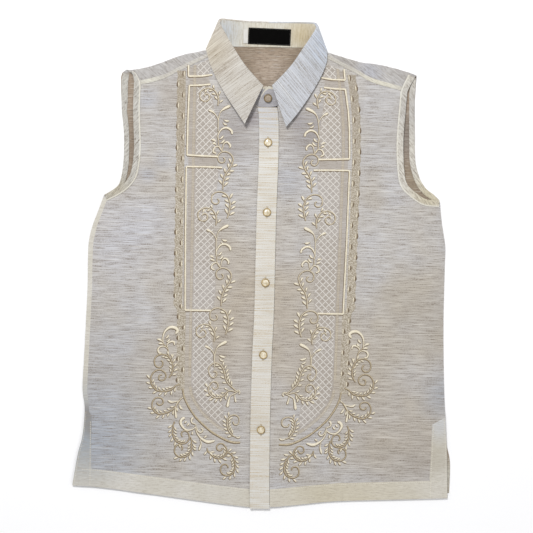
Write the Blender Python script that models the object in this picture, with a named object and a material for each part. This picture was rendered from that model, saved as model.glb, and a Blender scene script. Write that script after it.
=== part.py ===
"""A sleeveless barong tagalog shirt that lies flat on its back, front up.

X runs to the wearer's left, Y up to the collar and Z up from the surface it lies on. The origin is on that
surface, below the middle of the whole garment. Sizes are in millimetres and are turned to metres where a mesh
is made. Each piece that is cut and sewn is a solid of its own, and neighbours keep a small gap at the seams.
"""

import math

import bmesh
import bpy
from mathutils import Matrix, Vector
from mathutils.geometry import delaunay_2d_cdt

MM = 0.001

# Cloth
GAP = 0.3  # between pieces
WALL = 1.2  # panels and yoke
BAND_WALL = 1.4  # the front band, cloth folded double
COLLAR_WALL = 1.5  # the collar, cloth and interlining
TRIM_WALL = 1.0  # bindings, label and tab

# The whole garment
HALF_WIDTH = 283.5
BOTTOM_Y = -365.5

# The front band and the centre front
BAND_HALF = 14.8
BAND_TOP_Y = 236.3
UNDERLAP_X = 13.0
UNDERLAP_MIDDLE = -0.5
SEAM_GAP = 0.35
LEFT_RISE = 1.2  # how much the left front rises beside the band that is sewn to it
LEFT_RISE_WIDTH = 26.0

# The centre front isn't quite straight: how far the body's cloth lies to the wearer's left there.
CENTRE_LEAN = (
    # y, to the left
    (252.0, 0.0),
    (238.0, 0.3),
    (224.0, 2.3),
    (208.0, 3.0),
    (185.0, 3.4),
    (150.0, 3.2),
    (112.0, 2.2),
    (60.0, 1.2),
    (0.0, 0.8),
    (-56.0, 0.5),
    (-84.0, 0.0),
    (-128.0, -1.6),
    (-200.0, -2.7),
    (-240.0, -2.9),
    (-320.0, -2.5),
    (-366.0, -1.6),
)
LEAN_FROM, LEAN_TO = 17.0, 42.0  # distances from the middle between which it fades out

# The armholes' bindings
BINDING_WIDTH = 10.0

# Yoke
YOKE_BACK_Y = 226.5  # the seam across the back, hidden underneath
SHOULDER_BEND = 1.6  # radius of the shoulder fold, at mid cloth
NECK_POINT_X = (82.4, 83.4, 82.0)  # of its neck edge behind the shoulder fold, on it and in front of it
NECK_POINT_DROP = 3.2
YOKE_LINES_X = [88.0 + 18.0 * i for i in range(7)]  # along the shoulder fold's bend
FALL_UNDER_NECK = 2.3  # how far the folded fall lifts the back neck

# Collar
ROLL = 1.4  # radius of the collar's fold, at mid cloth
FALL_START = 0.5  # where the fall and the stand meet under the fold
STAND_SHORT = FALL_START + 0.9
LEAF_CROWN = 1.2
SECTIONS_PER_ROW = 2
LEAF_TOP_Y = 322.0  # where a leaf starts to bulge
LEAF_TOP_REACH = 22.0

# Buttons
BUTTON_RADIUS = 6.25
BUTTON_HEIGHT = 2.6
BUTTON_STEPS = 20

# How far the fronts lie above the back, besides the gap
RISE_BODY = 2.2
RISE_SHOULDER = 2 * SHOULDER_BEND - WALL - GAP
RISE_UNDERARM = 1.35

PANEL_STEP = 19.0
BACK_STEP = 30.0

# Side edges, from the underarm down to the hem: height, edge on the wearer's right, edge on the left.
SIDES = (
    # y, right_x, left_x
    (101.5, -242.5, 260.5),
    (76.5, -251.5, 263.3),
    (55.5, -259.3, 266.8),
    (30.5, -264.8, 270.5),
    (0.5, -265.6, 270.2),
    (-38.5, -265.5, 269.8),
    (-86.5, -267.0, 269.6),
    (-145.5, -269.0, 271.0),
    (-190.5, -270.5, 272.8),
    (-221.5, -266.6, 274.8),
    (-261.5, -269.4, 277.3),
    (-288.5, -276.0, 278.4),
    (-335.5, -HALF_WIDTH, 279.8),
)

# Hem of the fronts, from the wearer's right to the left, with a break at the centre front.
HEM = (
    # x, y
    (-HALF_WIDTH, -335.5),
    (-243.5, -337.3),
    (-158.5, -347.2),
    (-60.5, -359.2),
    (-15.5, -363.6),
    (23.5, -362.6),
    (63.5, -358.0),
    (113.5, -352.5),
    (208.5, -348.5),
    (279.8, -345.5),
)

# Armhole edge of the fronts, from the yoke seam down to the underarm.
ARMHOLE_FRONT = {
    # x, y, from the yoke seam down to the underarm
    -1: (
        (-200.5, 264.5),
        (-201.0, 226.5),
        (-198.7, 172.5),
        (-202.6, 136.5),
        (-212.8, 120.0),
        (-226.0, 110.0),
        (-242.5, 101.5),
    ),
    1: (
        (209.5, 263.0),
        (207.2, 231.5),
        (204.7, 188.5),
        (206.3, 150.5),
        (210.2, 127.0),
        (219.7, 116.0),
        (232.0, 106.8),
        (241.5, 102.4),
        (260.5, 101.0),
    ),
}

# Armhole edge of the back, from the back yoke seam down to the underarm.
ARMHOLE_BACK = {
    # x, y, from the back yoke seam down to the underarm
    -1: (
        (-218.3, 226.5),
        (-215.8, 207.0),
        (-214.4, 190.0),
        (-214.1, 164.0),
        (-215.3, 143.5),
        (-219.6, 120.8),
        (-227.7, 110.8),
        (-242.5, 101.5),
    ),
    1: (
        (221.5, 226.5),
        (222.0, 202.5),
        (222.7, 170.0),
        (224.4, 154.5),
        (227.8, 142.0),
        (232.6, 129.5),
        (241.0, 117.8),
        (251.5, 110.0),
        (260.5, 101.5),
    ),
}

# Shoulder fold and front yoke seam, outwards from the neck.
SHOULDER = {
    # distance from the middle, y, on the right (-1) and the left (1)
    -1: (
        (0.0, 390.0),
        (84.0, 322.8),
        (96.0, 320.6),
        (105.0, 318.3),
        (122.5, 315.4),
        (140.5, 309.5),
        (158.5, 302.0),
        (176.0, 295.8),
        (194.0, 291.4),
        (204.0, 290.2),
        (212.5, 290.4),
        (221.0, 285.5),
    ),
    1: (
        (0.0, 390.0),
        (84.0, 322.3),
        (92.0, 319.5),
        (120.0, 312.0),
        (139.0, 306.8),
        (148.0, 305.6),
        (157.0, 305.2),
        (175.0, 302.2),
        (193.0, 298.0),
        (220.0, 290.4),
        (224.0, 288.0),
    ),
}
# The yoke's armhole end: down to the fold in front, at the fold, and behind it.
YOKE_END = {
    # (distance from the middle, y) rows before the fold, distance on the fold, rows behind it
    -1: (
        ((200.3, 273.5), (202.1, 281.6), (205.6, 286.4)),
        212.5,
        ((218.6, 285.5), (220.5, 279.0), (220.3, 262.0)),
    ),
    1: (
        ((211.9, 268.8), (216.6, 277.8), (221.0, 286.0)),
        223.2,
        ((223.3, 284.0), (222.4, 272.0), (221.5, 250.0)),
    ),
}
YOKE_SEAM = (
    # distance from the middle, y
    (78.0, 315.7),
    (92.0, 309.0),
    (134.0, 288.5),
    (157.0, 276.5),
    (200.5, 264.9),
    (212.0, 262.5),
)
# Neckline of the fronts, between the band and the yoke seam.
NECKLINE = (
    # distance from the middle, y
    (27.0, 251.5),
    (47.0, 276.5),
    (66.0, 300.5),
)
# Neckline of the back yoke, inwards from just behind the shoulder fold.
NECKLINE_BACK = (
    # distance from the middle, y
    (79.5, 323.4),
    (72.0, 325.8),
    (58.0, 326.5),
    (38.0, 326.5),
    (19.0, 326.5),
)

# Corners of the back at the hem, which show past the fronts on the wearer's left.
BACK_CORNERS = {
    # x, y
    -1: ((-281.0, -333.0),),
    1: ((282.5, -286.0), (HALF_WIDTH, -306.0), (282.5, -338.0)),
}
BACK_HEM_SHORTER = 3.0

# Where the armhole bindings cross the yoke, from the shoulder to the seam.
BINDING_ON_YOKE = {
    # outer distance from the middle, y, inner distance from the middle, y
    "right_front": (
        (209.5, 287.0, 203.0, 287.2),
        (205.2, 285.6, 198.5, 284.5),
        (202.0, 281.0, 194.6, 278.0),
        (200.5, 273.0, 191.4, 271.0),
    ),
    "left_front": ((220.4, 284.6, 211.0, 289.0), (215.6, 276.0, 206.5, 280.0), (212.2, 269.4, 203.0, 272.5)),
    "right_back": ((219.4, 278.6, 209.8, 278.6), (219.6, 262.0, 210.0, 262.0), (219.0, 243.0, 209.0, 243.5)),
    "left_back": ((222.0, 280.0, 212.5, 280.0), (221.2, 262.0, 211.4, 262.0), (221.2, 243.0, 211.2, 243.5)),
}

# Soft ridges and troughs of the fronts. They fade out at their ends and sides.
FOLDS = (
    # from x, from y, to x, to y, half width, height
    (-264.0, -24.0, -226.0, -45.0, 16.0, -1.0),
    (-206.0, 112.0, -256.0, 36.0, 20.0, 1.1),
    (-250.0, -150.0, -270.0, -230.0, 22.0, 1.0),
    (-252.0, -226.0, -272.0, -330.0, 20.0, 1.5),
    (-150.0, -250.0, -185.0, -345.0, 26.0, 0.8),
    (202.0, 108.0, 272.0, 34.0, 22.0, 1.5),
    (232.0, -10.0, 272.0, 4.0, 18.0, -0.9),
    (117.0, -246.0, 268.0, -288.0, 22.0, 1.2),
    (150.0, 40.0, 215.0, -60.0, 34.0, 0.7),
    (-215.0, -90.0, -190.0, 40.0, 34.0, 0.6),
)

# Sections of the collar's right half, from the middle of the back to the point of the leaf. The first three
# places are the neckline, the visible edge of the fold and the outer edge of the fall. inward is the
# direction from the fall to the stand across the folded collar.
COLLAR = (
    # neck x, y, z, fold x, y, z, edge x, y, z, inward x, y, z
    ((0.0, 327.0, 2.95), (0.0, 365.6, 2.3), (0.0, 317.5, 0.85), (0.0, 0.0, 1.0)),
    ((34.0, 327.0, 2.95), (34.0, 366.4, 2.3), (35.0, 317.5, 0.85), (0.0, 0.0, 1.0)),
    ((58.0, 327.0, 2.95), (58.0, 368.2, 2.3), (62.0, 317.8, 0.85), (0.0, 0.0, 1.0)),
    ((73.0, 326.6, 3.0), (67.0, 369.2, 2.5), (80.0, 318.8, 0.85), (-0.25, 0.0, 1.0)),
    ((79.5, 324.9, 3.3), (71.8, 368.4, 3.7), (89.0, 323.2, 1.4), (-0.8, -0.2, 0.7)),
    ((82.2, 323.9, 4.6), (73.4, 366.0, 5.7), (92.2, 324.0, 4.4), (-1.0, -0.4, 0.0)),
    ((80.6, 319.9, 6.3), (73.0, 360.6, 9.3), (92.4, 318.6, 8.6), (-0.7, -0.3, -0.6)),
    ((76.0, 313.9, 6.2), (66.4, 348.4, 14.0), (87.8, 303.0, 8.5), (-0.3, -0.1, -1.0)),
    ((65.3, 301.0, 5.5), (53.5, 326.5, 17.5), (78.5, 281.5, 7.9), (0.0, 0.0, -1.0)),
    ((46.4, 277.0, 3.9), (35.5, 299.5, 17.0), (62.0, 252.5, 8.3), (0.0, 0.0, -1.0)),
    ((26.5, 252.0, 4.1), (18.5, 280.5, 14.5), (44.5, 226.5, 9.6), (0.0, 0.0, -1.0)),
    ((15.5, 239.2, 4.9), (6.5, 268.5, 12.3), (33.3, 209.5, 12.0), (0.0, 0.0, -1.0)),
)
# Past the leaf the stand runs on across the centre front, with a rounded end.
STAND_END = (
    # neck x, y, top x, y
    (6.0, 236.8, 1.5, 267.5),
    (-3.0, 236.8, -4.0, 262.5),
    (-9.0, 236.8, -9.0, 254.0),
    (-13.5, 237.2, -13.0, 243.5),
)
LAP = 1.9  # from the under end of the stand to the upper end, at mid cloth
POINT_LIFT = {-1: 3.5, 1: 0.0}  # how much higher each leaf's point curls
# Where the wearer's left half of the collar lies otherwise.
LEFT_FOLD = {
    # row of COLLAR: fold x, y, z
    1: (34.0, 366.0, 2.3),
    2: (58.0, 365.8, 2.3),
    3: (65.5, 365.6, 2.5),
    4: (69.3, 364.9, 3.7),
    5: (70.8, 362.8, 5.7),
    6: (71.8, 357.6, 9.3),
    7: (66.2, 346.6, 14.0),
}
LEFT_EDGE = {
    # row of COLLAR: edge x, y, z
    4: (85.4, 323.2, 1.4),
    5: (87.0, 324.4, 4.4),
    6: (88.2, 317.4, 8.8),
    7: (87.0, 303.0, 8.5),
    11: (28.4, 206.8, 12.0),
}

# Buttons, down the front from the collar.
BUTTON_ON_STAND = (0.8, 249.5)
BUTTONS_ON_BAND = (
    # x, y
    (2.0, 183.5),
    (2.0, 79.0),
    (1.5, -26.5),
    (0.0, -134.5),
    (-1.5, -247.0),
)

LABEL_SIZE = (63.6, 24.5)
LABEL_CENTRE = (1.5, 342.5)
TAB_SIZE = (6.5, 21.0)
TAB_CENTRE = (-34.3, 342.5)

# Colours, as linear red, green and blue, then roughness.
COLOURS = {
    "cloth": ((0.62, 0.59, 0.54), 0.75),
    "band": ((0.76, 0.73, 0.64), 0.75),
    "collar": ((0.66, 0.62, 0.52), 0.75),
    "binding": ((0.70, 0.66, 0.58), 0.75),
    "button": ((0.62, 0.46, 0.24), 0.3),
    "label": ((0.01, 0.01, 0.01), 0.7),
    "tab": ((0.75, 0.75, 0.73), 0.7),
}


def clear_scene():
    for old in list(bpy.data.objects):
        bpy.data.objects.remove(old, do_unlink=True)


def material(slot):
    """The Principled material of this name, made once."""
    if slot in bpy.data.materials:
        return bpy.data.materials[slot]
    colour, roughness = COLOURS[slot]
    made = bpy.data.materials.new(slot)
    made.use_nodes = True
    shader = made.node_tree.nodes["Principled BSDF"]
    shader.inputs["Base Color"].default_value = (*colour, 1.0)
    shader.inputs["Roughness"].default_value = roughness
    shader.inputs["Metallic"].default_value = 0.0
    return made


def smooth_step(value):
    value = min(1.0, max(0.0, value))
    return value * value * (3 - 2 * value)


def read_table(table, at, column=1):
    """A column of a table at a place between two of its rows, whose first column rises or falls."""
    rows = table if table[0][0] < table[-1][0] else table[::-1]
    at = min(max(at, rows[0][0]), rows[-1][0])
    for low, high in zip(rows, rows[1:]):
        if at <= high[0]:
            share = (at - low[0]) / (high[0] - low[0])
            return low[column] + share * (high[column] - low[column])
    return rows[-1][column]


def leaned(point):
    """A point of the body's cloth, moved sideways where the centre front leans."""
    x, y, z = point
    fade = 1 - smooth_step((abs(x) - LEAN_FROM) / (LEAN_TO - LEAN_FROM))
    return (x + read_table(CENTRE_LEAN, y) * fade, y, z)


def add_object(name, slot, points, faces):
    """An object from points in millimetres, with its faces turned outwards."""
    if slot in ("cloth", "band"):
        points = [leaned(p) for p in points]
    mesh = bpy.data.meshes.new(name)
    mesh.from_pydata([Vector(p) * MM for p in points], [], faces)
    shape = bmesh.new()
    shape.from_mesh(mesh)
    bmesh.ops.recalc_face_normals(shape, faces=shape.faces)
    shape.to_mesh(mesh)
    shape.free()
    mesh.shade_smooth()
    mesh.set_sharp_from_angle(angle=math.radians(40))
    mesh.materials.append(material(slot))
    made = bpy.data.objects.new(name, mesh)
    bpy.context.scene.collection.objects.link(made)
    return made


def smooth_curve(points, pieces):
    """Points on a smooth curve through the given ones, so many for each stretch between two of them."""
    points = [Vector(p) for p in points]
    ends = [2 * points[0] - points[1], *points, 2 * points[-1] - points[-2]]
    made = []
    for a, b, c, d in zip(ends, ends[1:], ends[2:], ends[3:]):
        for step in range(pieces):
            t = step / pieces
            into, out = (c - a) / 2, (d - b) / 2
            cubic = 2 * b - 2 * c + into + out
            square = 3 * c - 3 * b - 2 * into - out
            made.append(((cubic * t + square) * t + into) * t + b)
    return [*made, points[-1]]


def evenly(points, step):
    """Points spaced evenly along a line of straight stretches, at most step apart."""
    points = [Vector(p) for p in points]
    lengths = [(b - a).length for a, b in zip(points, points[1:])]
    count = max(1, math.ceil(sum(lengths) / step))
    wanted = [sum(lengths) * i / count for i in range(1, count)]
    made, passed, i = [points[0]], 0.0, 0
    for place in wanted:
        while passed + lengths[i] < place:
            passed += lengths[i]
            i += 1
        made.append(points[i].lerp(points[i + 1], (place - passed) / lengths[i]))
    return [*made, points[-1]]


def outline_curve(points, step):
    """A smooth outline through a table's rows, as points of the plane."""
    return [(p.x, p.y) for p in evenly(smooth_curve([(x, y, 0) for x, y in points], 6), step)]


def inset(line, width):
    """The points of a line moved sideways to its left."""
    points = [Vector(p[:2]) for p in line]
    made = []
    for i, point in enumerate(points):
        along = points[min(i + 1, len(points) - 1)] - points[max(i - 1, 0)]
        along.normalize()
        made.append(tuple(point + Vector((-along.y, along.x)) * width))
    return made


def gap_to_segment(point, start, end):
    """How far a point of the plane is from a straight stretch, and how far along the stretch it lies."""
    stretch = end - start
    share = max(0.0, min(1.0, (point - start).dot(stretch) / max(stretch.length_squared, 1e-9)))
    return (point - start - stretch * share).length, share


def in_outline(point, outline):
    inside = False
    for (ax, ay), (bx, by) in zip(outline, outline[1:] + outline[:1]):
        if (ay > point[1]) != (by > point[1]):
            inside ^= point[0] < ax + (point[1] - ay) / (by - ay) * (bx - ax)
    return inside


def triangles_in(outline, lines, step):
    """(points, triangles) that fill an outline, with the lines among their edges and a grid between."""
    outline = [tuple(p[:2]) for p in outline]
    points = [Vector(p) for p in outline]
    edges = []
    for line in lines:
        edges += [(len(points) + i, len(points) + i + 1) for i in range(len(line) - 1)]
        points += [Vector(p[:2]) for p in line]
    fixed = [(points[i], points[(i + 1) % len(outline)]) for i in range(len(outline))]
    fixed += [(points[a], points[b]) for a, b in edges]
    low_x, high_x = min(p[0] for p in outline), max(p[0] for p in outline)
    low_y, high_y = min(p[1] for p in outline), max(p[1] for p in outline)
    row_step = step * math.sqrt(3) / 2
    for row in range(1, int((high_y - low_y) / row_step) + 1):
        for column in range(int((high_x - low_x) / step) + 1):
            place = Vector((low_x + step * (column + 0.5 * (row % 2)), low_y + row_step * row))
            if not in_outline(place, outline):
                continue
            if min(gap_to_segment(place, a, b)[0] for a, b in fixed) > 0.5 * step:
                points.append(place)
    filled = delaunay_2d_cdt(points, edges, [list(range(len(outline)))], 1, 1e-5)
    places = [tuple(p) for p in filled[0]]
    triangles = []
    for a, b, c in filled[2]:
        (ax, ay), (bx, by), (cx, cy) = places[a], places[b], places[c]
        turn = (bx - ax) * (cy - ay) - (by - ay) * (cx - ax)
        triangles.append((a, b, c) if turn > 0 else (a, c, b))
    return places, triangles


def wall_faces(triangles, count):
    """Faces of a wall whose upper points come first: its top, its underside and the rim between them."""
    directed = {edge for a, b, c in triangles for edge in ((a, b), (b, c), (c, a))}
    rim = [(a, b) for a, b in directed if (b, a) not in directed]
    faces = [tuple(t) for t in triangles]
    faces += [(a + count, c + count, b + count) for a, b, c in triangles]
    faces += [(b, a, a + count, b + count) for a, b in sorted(rim)]
    return faces


def slab(name, slot, outline, lines, step, underside, wall):
    """A piece of cloth over an outline of the plane, whose underside is a height field."""
    places, triangles = triangles_in(outline, lines, step)
    low = [(x, y, underside(x, y)) for x, y in places]
    high = [(x, y, z + wall) for x, y, z in low]
    return add_object(name, slot, high + low, wall_faces(triangles, len(places)))


def grid_wall(name, slot, rows, wall):
    """A piece of cloth from rows of points at mid cloth, made a wall thick along its normals."""
    rows = [[Vector(p) for p in row] for row in rows]
    last_row, last = len(rows) - 1, len(rows[0]) - 1
    high, low = [], []
    for i, row in enumerate(rows):
        for j, point in enumerate(row):
            across = rows[min(i + 1, last_row)][j] - rows[max(i - 1, 0)][j]
            along = row[min(j + 1, last)] - row[max(j - 1, 0)]
            normal = across.cross(along).normalized() * wall / 2
            high.append(point + normal)
            low.append(point - normal)
    width = last + 1
    triangles = []
    for i in range(last_row):
        for j in range(last):
            a, b = i * width + j, i * width + j + 1
            triangles += [(a, a + width, b + width), (a, b + width, b)]
    return add_object(name, slot, high + low, wall_faces(triangles, len(high)))


def side_x(y, side):
    """The side seam's place at a height, on the wearer's right (-1) or left (1)."""
    return read_table(SIDES, y, 1 if side < 0 else 2)


def back_underside(x, y):
    """Flat on the surface, but for the back neck, which the folded fall lifts."""
    over_fall = smooth_step((y - 286) / 24) * (1 - smooth_step((abs(x) - 97) / 26))
    return FALL_UNDER_NECK * over_fall


def fold_height(x, y):
    """The ridges and troughs of the fronts at a place. The strip under the front band stays plain."""
    total = 0.0
    for from_x, from_y, to_x, to_y, half_width, height in FOLDS:
        away, share = gap_to_segment(Vector((x, y)), Vector((from_x, from_y)), Vector((to_x, to_y)))
        if away < half_width:
            across = 0.5 + 0.5 * math.cos(math.pi * away / half_width)
            total += height * across * (0.55 + 0.45 * math.sin(math.pi * share))
    return total * smooth_step((abs(x) - 2 * BAND_HALF) / BAND_HALF)


def front_underside(x, y):
    """Height of the inside of the fronts: close to the back at the side seams, a little off it elsewhere."""
    side = -1 if x < 0 else 1
    inwards = side * (side_x(y, side) - x)
    at_edge = RISE_UNDERARM * smooth_step((y - 55) / 30) + 0.5 * smooth_step((-200 - y) / 40)
    to_shoulder = smooth_step((y - 190) / 70)
    body = RISE_BODY + (RISE_SHOULDER - RISE_BODY) * to_shoulder
    body += (0.7 - RISE_BODY) * smooth_step((-300 - y) / 50)
    off_edge = smooth_step(inwards / 30)
    if y > SIDES[0][0]:
        off_edge = max(off_edge, smooth_step((y - SIDES[0][0]) / 60))
    rise = at_edge + (body - at_edge) * off_edge + fold_height(x, y) * (0.35 + 0.65 * off_edge)
    return back_underside(x, y) + WALL + GAP + max(0.0, rise)


def left_front_underside(x, y):
    """The wearer's left front rises beside the band that is sewn to it."""
    return front_underside(x, y) + LEFT_RISE * (1 - smooth_step((x - BAND_HALF) / LEFT_RISE_WIDTH))


def band_stations():
    """Heights along the centre front that the band and the front under it share."""
    return [p[1] for p in evenly([(0, HEM[4][1], 0), (0, BAND_TOP_Y, 0)], 24)]


def seam_line(side):
    """The yoke's front seam, from the neckline out to the armhole."""
    outer = abs(ARMHOLE_FRONT[side][0][0])
    rows = [row for row in YOKE_SEAM if row[0] < outer]
    rows.append((outer, read_table(YOKE_SEAM, outer)))
    return [(side * x, y) for x, y in outline_curve(rows, 16)]


def armhole_front(side):
    """The armhole edge of a front, from just under the yoke seam down to the underarm."""
    start = seam_line(side)[-1]
    return outline_curve([(start[0], start[1] - SEAM_GAP), *ARMHOLE_FRONT[side][1:]], 12)


def armhole_back(side):
    """The armhole edge of the back panel, from just under the back yoke seam down to the underarm."""
    start = ARMHOLE_BACK[side][0]
    return outline_curve([(start[0], start[1] - SEAM_GAP), *ARMHOLE_BACK[side][1:]], 12)


def make_back():
    right, left = armhole_back(-1), armhole_back(1)
    right_side = outline_curve([(x, y) for y, x, _ in SIDES[:-1]] + [BACK_CORNERS[-1][-1]], 24)
    left_side = outline_curve([(x, y) for y, _, x in SIDES[:-2]] + list(BACK_CORNERS[1]), 24)
    hem = [(x, y + BACK_HEM_SHORTER) for x, y in outline_curve(HEM[1:-1], 30)]
    outline = right + right_side[1:] + hem + left_side[::-1] + left[-2::-1]
    lines = [inset(right, BINDING_WIDTH), inset(left, -BINDING_WIDTH)]
    slab("back_panel", "cloth", outline, lines, BACK_STEP, back_underside, WALL)


def laid_strip(name, slot, rows, underside, wall):
    """A strip of cloth whose long edges are rows of points, laid on what is under it."""
    low = [(x, y, underside(x, y)) for row in rows for x, y in row]
    high = [(x, y, z + wall) for x, y, z in low]
    width = len(rows[0])
    triangles = []
    for i in range(len(rows) - 1):
        for j in range(width - 1):
            a, b = i * width + j, i * width + j + 1
            triangles += [(a, a + width, b + width), (a, b + width, b)]
    return add_object(name, slot, high + low, wall_faces(triangles, len(high)))


def make_binding(name, side, edge, over_yoke, top):
    """A bias strip along an armhole edge, made from the edge's own points and moved out from the cloth."""
    inner = inset(edge, -side * BINDING_WIDTH)
    outer = [(side * x, y) for x, y, _, _ in over_yoke] + edge
    inner = [(side * x, y) for _, _, x, y in over_yoke] + inner
    laid_strip(name, "binding", [outer, inner], lambda x, y: top(x, y) + GAP, TRIM_WALL)


def back_top(x, y):
    return back_underside(x, y) + WALL


def front_top(x, y):
    """The upper face of the fronts, and of the yoke's strip above their seam."""
    if y > read_table(YOKE_SEAM, abs(x)):
        return yoke_point(x, yoke_around(x, y, 1))[2] + WALL / 2
    return front_underside(x, y) + WALL


def make_front(side, name, underside):
    """One front, cut to the centre front, the neckline, the yoke seam, the armhole, the side and the hem."""
    seam = [(x, y - SEAM_GAP) for x, y in seam_line(side)]
    armhole = armhole_front(side)
    neckline = [(side * d, y) for d, y in NECKLINE]
    column = 1 if side < 0 else 2
    sides = [(row[column], row[0]) for row in SIDES]
    stations = band_stations()
    lines = [inset(armhole, -side * BINDING_WIDTH)]
    if side < 0:
        edge_of_band = [(-BAND_HALF, y) for y in stations]
        middle_of_band = [(UNDERLAP_MIDDLE, y) for y in stations]
        lines += [edge_of_band, middle_of_band[1:-1]]
        centre = [(UNDERLAP_X, y) for y in stations]
        hem = outline_curve(HEM[:5], 20)[:-1] + [edge_of_band[0], middle_of_band[0]]
        neckline = [middle_of_band[-1], edge_of_band[-1], *neckline]
    else:
        sides[-1] = HEM[-1]
        centre = [(BAND_HALF + SEAM_GAP, y) for y in stations]
        hem = outline_curve(HEM[:4:-1], 20)[:-1]
    outline = centre + neckline + seam + armhole[1:] + outline_curve(sides, 19)[1:] + hem[1:]
    slab(name, "cloth", outline, lines, PANEL_STEP, underside, WALL)


def fold_y(x):
    return read_table(SHOULDER[-1 if x < 0 else 1], abs(x))


def yoke_point(x, around):
    """Mid cloth of the yoke at a distance around the shoulder: forwards above 0, to the back below it."""
    bend = SHOULDER_BEND
    middle_y = fold_y(x) - bend - WALL / 2
    quarter = math.pi * bend / 2
    low = WALL / 2
    if abs(around) < quarter:
        angle = around / bend
        y = middle_y + bend * math.cos(angle)
        z = low + back_underside(x, middle_y) + bend + bend * math.sin(angle)
        return (x, y, z)
    y = middle_y - (abs(around) - quarter)
    if around < 0:
        return (x, y, low + back_underside(x, y))
    start = back_underside(x, middle_y) + 2 * bend
    share = smooth_step((around - quarter) / 14)
    return (x, y, low + start + share * (front_underside(x, y) - start))


def yoke_around(x, y, layer):
    """The distance around the shoulder of a place on the front (1) or back (-1) layer."""
    middle_y = fold_y(x) - SHOULDER_BEND - WALL / 2
    return layer * (middle_y - y + math.pi * SHOULDER_BEND / 2)


def make_yoke():
    """One piece over both shoulders, filled as it is cut and then bent around the shoulder fold."""
    halves, ends = {}, {}
    for side in (-1, 1):
        made = [(side * d, yoke_around(side * d, y, -1)) for d, y in NECKLINE_BACK[::-1]]
        behind_x, fold_x, before_x = (side * x for x in NECK_POINT_X)
        made.append((behind_x, yoke_around(behind_x, fold_y(behind_x) - NECK_POINT_DROP, -1)))
        made.append((fold_x, 0.0))
        made.append((before_x, 0.55 * yoke_around(side * YOKE_SEAM[0][0], YOKE_SEAM[0][1], 1)))
        halves[side] = made + [(x, yoke_around(x, y, 1)) for x, y in seam_line(side)]
        before, fold_end, behind = YOKE_END[side]
        end_x = ARMHOLE_BACK[side][0][0]
        ends[side] = [halves[side].pop()]
        ends[side] += [(side * d, yoke_around(side * d, y, 1)) for d, y in before]
        ends[side].append((side * fold_end, 0.0))
        ends[side] += [(side * d, yoke_around(side * d, y, -1)) for d, y in behind]
        ends[side].append((end_x, yoke_around(end_x, YOKE_BACK_Y, -1)))
    base = [(x, yoke_around(x, YOKE_BACK_Y, -1)) for x in [-210 + 30.0 * i for i in range(15)]]
    neck = [(0.0, yoke_around(0.0, NECKLINE_BACK[-1][1], -1))]
    outline = halves[-1][::-1] + neck + halves[1] + ends[1] + base[::-1] + ends[-1][::-1]
    quarter = math.pi * SHOULDER_BEND / 2
    lines = []
    for side in (-1, 1):
        for around in (-quarter, -quarter / 2, 0.0, quarter / 2, quarter):
            lines.append([(side * d, around) for d in YOKE_LINES_X])
    places, triangles = triangles_in(outline, lines, PANEL_STEP)
    middle = [Vector(yoke_point(x, w)) for x, w in places]
    normals = [Vector() for _ in middle]
    for a, b, c in triangles:
        turn = (middle[b] - middle[a]).cross(middle[c] - middle[a]).normalized()
        for corner in (a, b, c):
            normals[corner] += turn
    high, low = [], []
    for (x, around), point, normal in zip(places, middle, normals):
        out = normal.normalized() * WALL / 2
        if abs(around) > quarter + 1.0:
            out = Vector((0, 0, math.copysign(WALL / 2, normal.z)))
        high.append(point + out)
        low.append(point - out)
    add_object("yoke", "cloth", high + low, wall_faces(triangles, len(middle)))


def make_band():
    """The front band, over the stations of the front that it lies on."""
    stations = band_stations()
    columns = [[(x, y) for y in stations] for x in (-BAND_HALF, UNDERLAP_MIDDLE, BAND_HALF)]
    for column in columns:
        column[0] = (column[0][0], BOTTOM_Y)

    def on_front(x, y):
        return front_underside(UNDERLAP_MIDDLE, max(y, stations[0])) + WALL + GAP

    laid_strip("placket", "band", columns, on_front, BAND_WALL)


def collar_sections(side):
    """Smooth sections of half a collar, from the middle of the back to the leaf's point.

    Towards the front the stand's two ends part in height, so that one can lap over the other.
    """
    rows = [list(column) for column in zip(*COLLAR)]
    if side > 0:
        for number, fold in LEFT_FOLD.items():
            rows[1][number] = fold
        for number, edge in LEFT_EDGE.items():
            rows[2][number] = edge
    columns = [smooth_curve(row, SECTIONS_PER_ROW) for row in rows]
    sections = []
    last = len(columns[0]) - 1
    for number, (neck, fold, edge, inward) in enumerate(zip(*columns)):
        lap = side * LAP / 2 * smooth_step((number - last + 3) / 3)
        to_point = smooth_step((number - last + 6) / 6)
        lapped = [p + Vector((0, 0, lap)) for p in (neck, fold)]
        sections.append((*lapped, edge + Vector((0, 0, POINT_LIFT[side] * to_point)), inward))
    return sections


def fold_of(section):
    """(roll centre, outward direction, direction to the stand) of the collar's fold in a section."""
    neck, fold, edge, inward = section
    outward = -((neck - fold).normalized() + (edge - fold).normalized()).normalized()
    to_stand = (inward - outward * inward.dot(outward)).normalized()
    return fold - outward * (ROLL + COLLAR_WALL / 2), outward, to_stand


def mirrored(point, side):
    return Vector((side * point[0], point[1], point[2]))


def seam_point(section):
    """Where the stand ends under the collar's fold, at mid cloth."""
    centre, outward, to_stand = fold_of(section)
    return centre + to_stand * ROLL - outward * STAND_SHORT


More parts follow.
